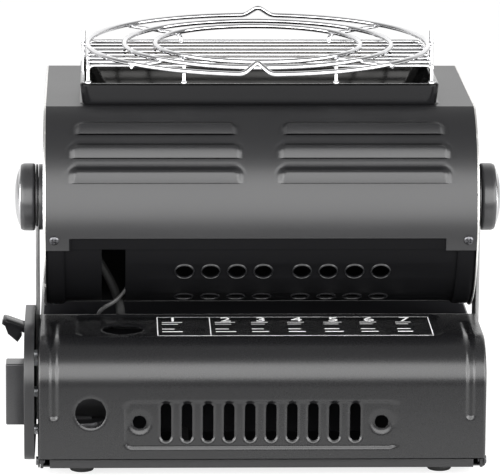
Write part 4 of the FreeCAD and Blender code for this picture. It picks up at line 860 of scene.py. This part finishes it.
LID_RUN1 = LID_TOP - LID_CORNER - LID_FACE_LOW
LID_RUN2 = LID_RUN1 + LID_CORNER * math.pi / 2
LID_RUN3 = LID_RUN2 + LID_DEPTH - LID_BEND - LID_CORNER
LID_RUN4 = LID_RUN3 + LID_BEND * math.pi / 2
LID_RUN5 = LID_RUN4 + LID_TOP - LID_BEND - LID_BACK_LOW
EDGE_BEND, FLANGE = 2.0, 12.0
FIELD = (-0.9, 32.2 - LID_FACE_LOW, 80.0, 14.8, 5.0)
TOP_FIELD = (-0.75, 104.4, 108.25, 25.9, 9.0)
RIB_X, RIB_S, RIB_HALF, RIB_R = 121.7, 68.0, 42.0, 3.2
VALVE_X, VALVE_Z, VALVE_R = -100.2, 39.3, 9.0
GUIDE_X, GUIDE_Y, GUIDE_R = -81.4, 41.0, 12.0
DISHED_X, DISHED_R, DISH_WIDE = 70.75, 4.0, 4.0


def lid_surface(x, s):
    theta = np.clip((s - LID_RUN1) / LID_CORNER, 0, math.pi / 2)
    phi = np.clip((s - LID_RUN3) / LID_BEND, 0, math.pi / 2)
    on_top = np.clip(s - LID_RUN2, 0, LID_RUN3 - LID_RUN2)
    y = LID_CORNER * (1 - np.cos(theta)) + on_top + LID_BEND * np.sin(phi)
    z = (LID_FACE_LOW + np.minimum(s, LID_RUN1) + LID_CORNER * np.sin(theta) - LID_BEND * (1 - np.cos(phi))
         - np.maximum(s - LID_RUN4, 0))
    turn = theta + phi
    ny, nz = -np.cos(turn), np.sin(turn)
    flat_end = HALF_CASE - EDGE_BEND
    u = np.abs(x) - flat_end
    arc = np.clip(u / EDGE_BEND, 0, math.pi / 2)
    fade = 0.16 + 0.84 * step((LID_RUN3 - 4.0 - s) / 16.0)
    inset = EDGE_BEND * (1 - np.cos(arc)) * np.minimum(fade * 1.6, 1.0) + np.maximum(
        u - EDGE_BEND * math.pi / 2, 0) * fade
    side = np.sign(x)
    px = np.where(u > 0, side * (flat_end + EDGE_BEND * np.sin(arc)), x)
    points = np.stack([px, y - ny * inset, z - nz * inset], -1)
    normal = np.stack([side * np.sin(arc), ny * np.cos(arc), nz * np.cos(arc)], -1)
    return points, normal


def slots_in_face(x, s):
    """Signed distance to the nearest slot; the other holes have theirs below."""
    middles = [SLOT_X0 + (i - (SLOT_COUNT - 1) / 2) * SLOT_PITCH for i in range(SLOT_COUNT)]
    height = SLOT_Z - LID_FACE_LOW
    return np.min([pill(x, s, middle, height, SLOT_HALF, SLOT_RADIUS) for middle in middles], axis=0)


def dished_holes(x, s):
    return np.hypot(np.abs(x - SLOT_X0) - DISHED_X, s - (SLOT_Z - LID_FACE_LOW)) - DISHED_R


def valve_hole(x, s):
    return np.hypot(x - VALVE_X, s - (VALVE_Z - LID_FACE_LOW)) - VALVE_R


def guide_hole(x, s):
    return np.hypot(x - GUIDE_X, s - (LID_RUN2 + GUIDE_Y - LID_CORNER)) - GUIDE_R


def lid_press(x, s):
    lift = -1.2 * step(-soft_box(x, s, *FIELD) / 1.7)
    lift -= 1.0 * step(-soft_box(x, s, *TOP_FIELD) / 1.6)
    lift -= 1.3 * step(-pill(np.abs(x), s, RIB_X, RIB_S, RIB_HALF, RIB_R) / 2.6)
    lift -= 1.1 * step(1.0 - slots_in_face(x, s) / 1.9) ** 2
    lift -= 1.1 * step((DISH_WIDE - dished_holes(x, s)) / 3.6)
    lift -= 0.6 * step(1.0 - np.minimum(valve_hole(x, s), guide_hole(x, s)) / 1.6) ** 2
    return np.where(np.abs(x) > HALF_CASE - EDGE_BEND, 0.0, lift)


def make_lid():
    end = HALF_CASE - EDGE_BEND + EDGE_BEND * math.pi / 2 + FLANGE - EDGE_BEND
    curl = HALF_CASE - EDGE_BEND
    stops = [(-end, 2.5), (-curl - 3.2, 0.6), (-curl, 1.2), (-126.0, 0.75), (-117.5, 1.5), (-112.0, 0.9),
             (-88.0, 1.4), (-78.0, 0.72), (76.5, 2.4), (104.0, 1.0), (109.0, 2.0), (117.5, 0.75),
             (126.0, 1.2), (curl, 0.6), (curl + 3.2, 2.5), (end, 1.0)]
    rows = spread([(0.0, 1.3), (3.0, 0.8), (9.0, 0.75), (38.0, 1.1), (LID_RUN1, 1.6), (LID_RUN2 - 8.0, 0.7),
                   (LID_RUN2 - 3.0, 1.4), (LID_RUN3 - 4.0, 0.7), (LID_RUN5, 1.0)])
    holes = [slots_in_face, dished_holes, valve_hole, guide_hole]
    lid = pressed_sheet("lid_skin", spread(stops), [(v, 1) for v in rows], lid_surface, lid_press, holes,
                        "lid_enamel", 1.0)
    settled(lid, "cartridge_lid", "lid_enamel", "cartridge_lid")
    make_hinge_ears()


def make_hinge_ears():
    """Round lugs at the lid's lower corners, on the hinge pins."""
    curve = [(9.0 + 4.0 * math.cos(a), 8.5 + 4.0 * math.sin(a))
             for a in np.linspace(math.radians(-150), math.radians(10), 14)]
    outline = [(1.4, 24.0), (1.4, 7.0), *curve, (13.0, 24.0)]
    n = len(outline)
    for side, word in SIDES:
        ends = sorted((side * (HALF_CASE - 1.0), side * HALF_CASE))
        points = [(x, y, z) for x in ends for y, z in outline]
        faces = [tuple(range(n - 1, -1, -1)), tuple(range(n, 2 * n))]
        faces += [(i, (i + 1) % n, n + (i + 1) % n, n + i) for i in range(n)]
        ear = from_points("hinge_ear_" + word, points, faces, "lid_enamel")
        cleaned(ear.data)
        bevel = ear.modifiers.new("ease", "BEVEL")
        bevel.width, bevel.segments = 0.25 * MM, 2
        settled(baked(ear, 35), "cartridge_lid", "lid_enamel")


def print_bar(points, faces, x0, x1, y0, y1):
    """Adds a thin printed bar on the lid's sunk top, following its curve."""
    base = len(points)
    for y in np.linspace(y0, y1, 5):
        drop = LID_CORNER - math.sqrt(LID_CORNER ** 2 - max(LID_CORNER - y, 0.0) ** 2)
        points += [(x, y, LABEL_Z - drop) for x in (x0, x1)]
    faces += [(a, a + 1, a + 3, a + 2) for a in range(base, base + 8, 2)]


LABEL_Z = LID_TOP - 0.94
LABEL_X, LABEL_Y, LABEL_LINE, LABEL_DIVIDE = (-61.0, 101.5), (24.0, 69.5), 0.55, -29.8
CELLS = [(-58.0, 12.0), (-26.5, 12.0), (-5.0, 10.0), (16.5, 10.0), (38.0, 11.0), (59.5, 10.0), (81.0, 9.0)]


def make_label():
    """Plain frame with numbered cells in place of the printed field."""
    points, faces = [], []
    (left, right), (near, far), line = LABEL_X, LABEL_Y, LABEL_LINE
    for bar in ((left, right, near, near + line), (left, right, far - line, far),
                (left, left + line, near, far), (right - line, right, near, far),
                (LABEL_DIVIDE, LABEL_DIVIDE + line, near, far)):
        print_bar(points, faces, *bar)
    for k, (x, wide) in enumerate(CELLS):
        bars = ((1.0, 56.0, 57.0), (0.8, 51.5, 52.5), (1.0, 33.0, 34.6), (0.6 + 0.05 * k, 39.5, 41.0))
        for share, y0, y1 in bars:
            print_bar(points, faces, x, x + wide * share, y0, y1)
    obj = from_points("lid_label", points, faces, "label_ink")
    settled(obj, "cartridge_lid", "lid_enamel")
    for k, (x, wide) in enumerate(CELLS):
        text = bpy.data.curves.new("label_number", "FONT")
        text.body, text.size, text.extrude = str(k + 1), 14.0 * MM, 0.03 * MM
        made = baked(linked("label_number_%d" % (k + 1), text))
        made.data.transform(Matrix.Translation(at(x + wide * 0.25, 59.0, LABEL_Z)))
        repaint(made, "label_ink")
        settled(made, "cartridge_lid", "lid_enamel")


# Knobs, screws and controls

def cross_screw(direction):
    """Pan head with a cross recess, made about the origin."""
    radii = [0.0, 0.35, 0.55, 0.8, 1.1, 1.4, 1.6, 1.9, 2.2, 2.45, 2.62, 2.72, 2.75]
    profile = [(0.35 + 1.25 * math.sqrt(1 - (r / 2.82) ** 2), max(r, 0.01)) for r in radii]
    profile.append((0.0, radii[-1]))
    head = turned("screw_part", profile, -ORIGIN / MM, direction, "screw_steel", 48, 50)
    axis = Vector(direction).normalized()
    u = axis.orthogonal().normalized()
    v = axis.cross(u)
    for vert in head.data.vertices:
        a, b = abs(vert.co.dot(u)) / MM, abs(vert.co.dot(v)) / MM
        in_cross = min(a, b) < CROSS_HALF and max(a, b) < CROSS_LONG
        if in_cross and vert.co.dot(axis) > 0.5 * MM:
            vert.co -= axis * 0.7 * MM
    return head


CROSS_HALF, CROSS_LONG = 0.42, 1.55
HEAD_SCREW_X, ARM_SCREWS = 121.4, ((-6, 46.0), (6, 46.0), (0, 62.0))


ARM_DISC_RADII = (5.5, 19.6)


def make_arm_discs():
    """Round ends of the arms behind the lock knobs."""
    for side, word in SIDES:
        disc = collar("arm_disc_" + word, *ARM_DISC_RADII, 1.3, ARM_OUT - 1.45, side, "black_enamel", 0.3)
        settled(disc, "base", "black_enamel")


def make_screws():
    for side, word in SIDES:
        spots = [(side * ARM_OUT, PIVOT_Y + y, z) for y, z in ARM_SCREWS]
        made = repeats("arm_screw_heads_" + word, cross_screw((side, 0, 0)), spots, "screw_steel")
        settled(made, "base", "screw_steel", *(["arm_screws"] if word == "right" else []))
    for name, deg, radius in (("upper", -11.0, HEAD_R), ("lower", -70.0, HEAD_R - 1.9)):
        out = outwards(deg)
        spots = [on_head(radius - 0.05, deg, s * HEAD_SCREW_X) for s in (-1, 1)]
        made = repeats("head_screw_heads_" + name, cross_screw(out), spots, "screw_steel")
        settled(made, "head", "screw_steel", *(["head_screws"] if name == "upper" else []))


def make_lock_knobs():
    outline = rounded([(0.0, 0.4), (0.0, 19.6), (1.2, 20.2), (6.9, 20.1), (8.7, 19.2), (8.7, 17.75),
                       (7.4, 17.6), (7.4, 0.4)], 1.0, 4)
    crown = rounded([(7.5, 17.45), (8.6, 17.45), (9.6, 16.4), (10.8, 13.2), (11.8, 8.0), (12.2, 0.05)], 1.2, 5)
    for side, word in SIDES:
        start, body = (side * KNOB_IN, PIVOT_Y, PIVOT_Z), word + "_lock_knob"
        grip = turned(word + "_knob_body", outline, start, (side, 0, 0), "knob_plastic", 96, 40)
        settled(grip, body, "black_plastic", word + "_knob_grip")
        dome = turned(word + "_knob_dome", crown, start, (side, 0, 0), "cap_chrome", 96, 60)
        settled(dome, body, "cap_chrome", word + "_knob_cap")


def make_controls():
    eased("control_panel", 0.4)
    eased("lock_lever", 0.35, "gloss_enamel")
    eased("gas_knob_grip", 0.25, "knob_plastic")
    for node in ("panel_standoffs", "lever_pin", "igniter_unit"):
        eased(node, 0.2)


BASE_EASE = {"base_pan": 0.3, "rear_housing": 0.4, "divider_wall": 0.2, "left_end_plate": 0.3,
             "right_end_plate": 0.3, "left_arm": 0.5, "right_arm": 0.5, "feet": 0.8, "cartridge_cradle": 0.3,
             "gas_regulator": 0.5, "diaphragm_cover": 0.4, "hose_grommet": 0.3, "burner_box": 0.4,
             "mixing_tube": 0.3, "injector_bracket": 0.3, "valve_nozzle": 0.2}


def make_base():
    for node, width in BASE_EASE.items():
        # The divider wall takes the dull deck finish: painted shade.
        made = eased(node, width, "deck_shade_enamel" if node == "divider_wall" else None)
        if node.endswith("_arm"):
            second_finish(made, "cut_edge", lambda p: p.normal.y < -0.8)
        # The rear housing's upward faces take the dull deck finish: painted shade on the deck.
        if node == "rear_housing":
            second_finish(made, "deck_shade_enamel", lambda p: p.normal.z > 0.8)


HOSE_ROUTE = [(-96, 66, 42), (-96, 80, 42), (-91, 90, 47), (-82, 89, 60), (-82, 89, 81), (-86.5, 82, 96),
              (-93, 81, 108), (-100, 88, 119), (-112, 97, 126), (-119, 106, 137), (-119.5, 114, 146.8),
              (-110, 114, 146.8)]
LEAD_ROUTE = [(-112, 75.5, 24), (-112, 84, 24), (-106, 92, 34), (-97, 92, 52), (-97, 92, 75), (-93, 82, 83),
              (-85, 78, 88), (-77, 77, 98), (-71, 84, 112), (-66, 100, 122), (-64, 120, 129),
              (-64, 144.4, 145), (-64, 144.4, 164.8)]


def flexible(name, route, radius, node):
    """Tube along a route from base to head; it bends with the tilt between start and end."""
    curve = bpy.data.curves.new(name, "CURVE")
    curve.dimensions, curve.resolution_u, curve.use_fill_caps = "3D", 10, True
    curve.bevel_depth, curve.bevel_resolution = radius * MM, 5
    line = curve.splines.new("NURBS")
    line.points.add(len(route) - 1)
    for point, spot in zip(line.points, route):
        point.co = (*at(*spot), 1.0)
    line.order_u, line.use_endpoint_u = 3, True
    obj = baked(linked(name, curve), 60)
    repaint(obj, SLOTS[node])
    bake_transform(obj)
    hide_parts(node)


def make_flexibles():
    flexible("hose_tube", HOSE_ROUTE, 2.7, "gas_hose")
    flexible("lead_tube", LEAD_ROUTE, 1.2, "igniter_lead")


def paint_rest():
    """Gives each node that keeps its own shape its finish."""
    for node, slot in SLOTS.items():
        repaint(frame["nodes"][node], slot)


# Stage

CAMERA_TARGET, CAMERA_REACH = (-8.0, 0.0, 144.5), 2364.0
CAMERA_RISE, CAMERA_TURN, CAMERA_ROLL, CAMERA_LENS = 12.72, 2.12, 0.4, 294.6


def make_camera():
    up_angle, turn, roll = (math.radians(v) for v in (CAMERA_RISE, CAMERA_TURN, CAMERA_ROLL))
    level = math.cos(up_angle)
    back = Vector((-math.sin(turn) * level, -math.cos(turn) * level, math.sin(up_angle)))
    right = (-back).cross(Vector((0, 0, 1))).normalized()
    up = right.cross(-back)
    across = right * math.cos(roll) + up * math.sin(roll)
    over = up * math.cos(roll) - right * math.sin(roll)
    data = bpy.data.cameras.new("camera")
    data.lens, data.sensor_width, data.sensor_fit = CAMERA_LENS, 36.0, "HORIZONTAL"
    data.clip_end = 20.0
    camera = linked("camera", data)
    spot = at(*CAMERA_TARGET) + back * CAMERA_REACH * MM
    camera.matrix_world = Matrix.Translation(spot) @ Matrix((across, over, back)).transposed().to_4x4()
    bpy.context.scene.camera = camera


PANEL_NEAR, PANEL_FAR, PANEL_WIDTH = (-225.0, 88.0), (-490.0, 613.0), 1.0
SIDE_BOX_AT, SIDE_BOX_SIZE = (1000.0, -330.0, 330.0), (1.1, 0.9)


def soft_box_light(name, spot, back, size, power):
    """Rectangular lamp at a layout spot, shining away from back."""
    data = bpy.data.lights.new(name, "AREA")
    data.shape, data.size, data.size_y, data.energy = "RECTANGLE", *size, power
    box = linked(name, data)
    box.location = at(*spot)
    box.rotation_euler = Vector(back).to_track_quat("Z", "Y").to_euler()


def make_lamps(stage):
    """A panel in front that leans from its low near edge to its high far edge, and a box at each side."""
    (y0, z0), (y1, z1) = PANEL_NEAR, PANEL_FAR
    size = (PANEL_WIDTH, math.hypot(y1 - y0, z1 - z0) * MM)
    soft_box_light("front soft box", (0, (y0 + y1) / 2, (z0 + z1) / 2), (0, z0 - z1, y1 - y0), size,
                   stage.front_light)
    x, y, z = SIDE_BOX_AT
    for side, word in SIDES:
        soft_box_light(word + " soft box", (side * x, y, z), (side * 1.0, -0.42, 0.2), SIDE_BOX_SIZE,
                       stage.side_light)


def floor_paint(colour):
    """Pale floor, near white to the camera where nothing shades it, and dim in reflections near the front."""
    floor = Finish("floor paint")
    seen, mirrored = floor.ray("Is Camera Ray"), floor.ray("Is Glossy Ray")
    plain = floor.surface(colour=colour, rough=0.9)
    glow = floor.node("ShaderNodeEmission", None, {"Color": (1, 1, 1, 1), "Strength": 1.27})
    far = floor.node("ShaderNodeEmission", None, {"Color": (1, 1, 1, 1), "Strength": 0.12})
    whiter = seen * (0.62 + floor.noise(3.0) * 0.02)
    lit = floor.node("ShaderNodeMixShader", None, {0: whiter, 1: plain, 2: glow})
    dim = (floor.part(floor.place, "Y") * -1.0).ramp(0.24, 0.45) * mirrored
    return floor.done(floor.node("ShaderNodeMixShader", None, {0: dim, 1: lit, 2: far}))


def light_room(world, stage):
    """White to the camera, even light all round, and a graded room with a bright backdrop in reflections."""
    world.use_nodes = True
    room = Nodes(world.node_tree)
    direction = room.node("ShaderNodeTexCoord", out="Generated")
    seen, mirrored = room.ray("Is Camera Ray"), room.ray("Is Glossy Ray")
    high = room.part(direction, "Z").ramp(-0.05, 0.6, 0.3, 1.0)
    behind = room.part(direction, "Y").ramp(0.35, 0.85)
    reflected = high * stage.mirrored_light * (1.0 - behind) + behind * stage.backdrop_light
    plain = (1.0 - mirrored) * stage.room_light + mirrored * reflected
    strength = plain * (1.0 - seen) + seen
    glow = room.node("ShaderNodeBackground", None, {"Color": (1, 1, 1, 1), "Strength": strength})
    room.ends("ShaderNodeOutputWorld", glow)


FLOOR_HALF = 6000.0


def make_stage(stage):
    scene = bpy.context.scene
    scene.view_settings.view_transform = "Standard"
    FINISHES["floor"] = floor_paint(tuple(stage.floor_colour))
    corners = [(sx * FLOOR_HALF, sy * FLOOR_HALF, 0) for sx, sy in ((-1, -1), (1, -1), (1, 1), (-1, 1))]
    from_points("floor", corners, [(0, 1, 2, 3)], "floor")
    scene.world = scene.world or bpy.data.worlds.new("room")
    light_room(scene.world, stage)
    make_lamps(stage)
    make_camera()


# Add-on

class HeaterColours(bpy.types.PropertyGroup):
    enamel: FloatVectorProperty(name="Enamel", description="Colour of the stoved enamel", subtype="COLOR",
                                default=(0.005, 0.005, 0.0055), min=0, max=1)
    chrome: FloatVectorProperty(name="Chrome", description="Colour of the plated wires", subtype="COLOR",
                                default=(0.62, 0.62, 0.63), min=0, max=1)


class HeaterSizes(bpy.types.PropertyGroup):
    guard_wire: FloatProperty(name="Guard wire", description="Thickness of the guard's bars", unit="LENGTH",
                              default=0.0022, min=0.001, max=0.003)
    ring_wire: FloatProperty(name="Ring wire", description="Thickness of the pot rings", unit="LENGTH",
                             default=0.003, min=0.002, max=0.004)


class HeaterStage(bpy.types.PropertyGroup):
    floor_colour: FloatVectorProperty(name="Floor", description="Colour of the floor", subtype="COLOR",
                                      default=(0.86, 0.86, 0.86), min=0, max=1)
    room_light: FloatProperty(name="Room light", description="Strength of the even light from all round",
                              default=0.55, min=0, max=2)
    mirrored_light: FloatProperty(name="Mirrored light", description="Strength of the room in reflections",
                                  default=0.42, min=0, max=2)
    backdrop_light: FloatProperty(name="Backdrop light", description="Strength of the backdrop in reflections",
                                  default=1.35, min=0, max=2)
    side_light: FloatProperty(name="Side light", description="Power of each soft box at the sides",
                              unit="POWER", default=20.0, min=0, max=200)
    front_light: FloatProperty(name="Front light", description="Power of the soft box in front", unit="POWER",
                               default=10.0, min=0, max=200)


def operator(name, label, text, action, group=None):
    """The operator of one piece or group; it hands its settings, if any, to the action."""
    def execute(self, context):
        action(*([getattr(context.scene, group)] if group else []))
        return {"FINISHED"}
    return type("HEATER_OT_" + name, (bpy.types.Operator,),
                {"bl_idname": "heater." + name, "bl_label": label, "__doc__": text, "execute": execute})


STEPS = [
    ("finishes", "Finishes", "Mix the procedural finishes", mix_finishes, "heater_colours"),
    ("stage", "Stage", "Set up the floor, light and camera", make_stage, "heater_stage"),
    ("plain_parts", "Plain parts", "Give the inner parts their finish", paint_rest),
    ("flexibles", "Hose and lead", "Run the gas hose and the igniter lead", make_flexibles),
    ("head", "Head casing", "Press the louvred head casing and its side strips", make_head_casing),
    ("air_lips", "Air holes", "Roll the lips of the air holes", make_air_lips),
    ("reflector", "Reflector", "Draw the reflector and its rim", make_reflector),
    ("wires", "Guard and rings", "Bend the guard and the pot rings", make_wires, "heater_sizes"),
    ("lid", "Lid", "Press the slotted lid", make_lid),
    ("label", "Label", "Print the plain numbered field", make_label),
    ("base", "Base", "Ease the edges of the base's plates", make_base),
    ("arm_discs", "Arm ends", "Round the ends of the arms", make_arm_discs),
    ("knobs", "Lock knobs", "Turn the lock knobs", make_lock_knobs),
    ("controls", "Controls", "Shape the control panel, lever and gas knob", make_controls),
    ("screws", "Screws", "Set the screws", make_screws),
]
OPERATORS = [operator(*entry) for entry in STEPS]
GROUPS = {"heater_colours": HeaterColours, "heater_sizes": HeaterSizes, "heater_stage": HeaterStage}


class HEATER_PT_panel(bpy.types.Panel):
    """Lists the heater's pieces and settings"""
    bl_label = "Heater"
    bl_idname = "HEATER_PT_panel"
    bl_space_type = "VIEW_3D"
    bl_region_type = "UI"
    bl_category = "Heater"

    def draw(self, context):
        for name, kind in GROUPS.items():
            for key in kind.__annotations__:
                self.layout.prop(getattr(context.scene, name), key)
        for step_row in STEPS:
            self.layout.operator("heater." + step_row[0], text=step_row[1])


CLASSES = [*GROUPS.values(), *OPERATORS, HEATER_PT_panel]


def register():
    for item in CLASSES:
        bpy.utils.register_class(item)
    for name, kind in GROUPS.items():
        setattr(bpy.types.Scene, name, PointerProperty(type=kind))


def unregister():
    for name in GROUPS:
        delattr(bpy.types.Scene, name)
    for item in reversed(CLASSES):
        bpy.utils.unregister_class(item)


def main():
    register()
    for name, *_ in STEPS:
        if getattr(bpy.ops.heater, name)() != {"FINISHED"}:
            raise RuntimeError("the step %s did not finish" % name)


if __name__ == "__main__":
    main()
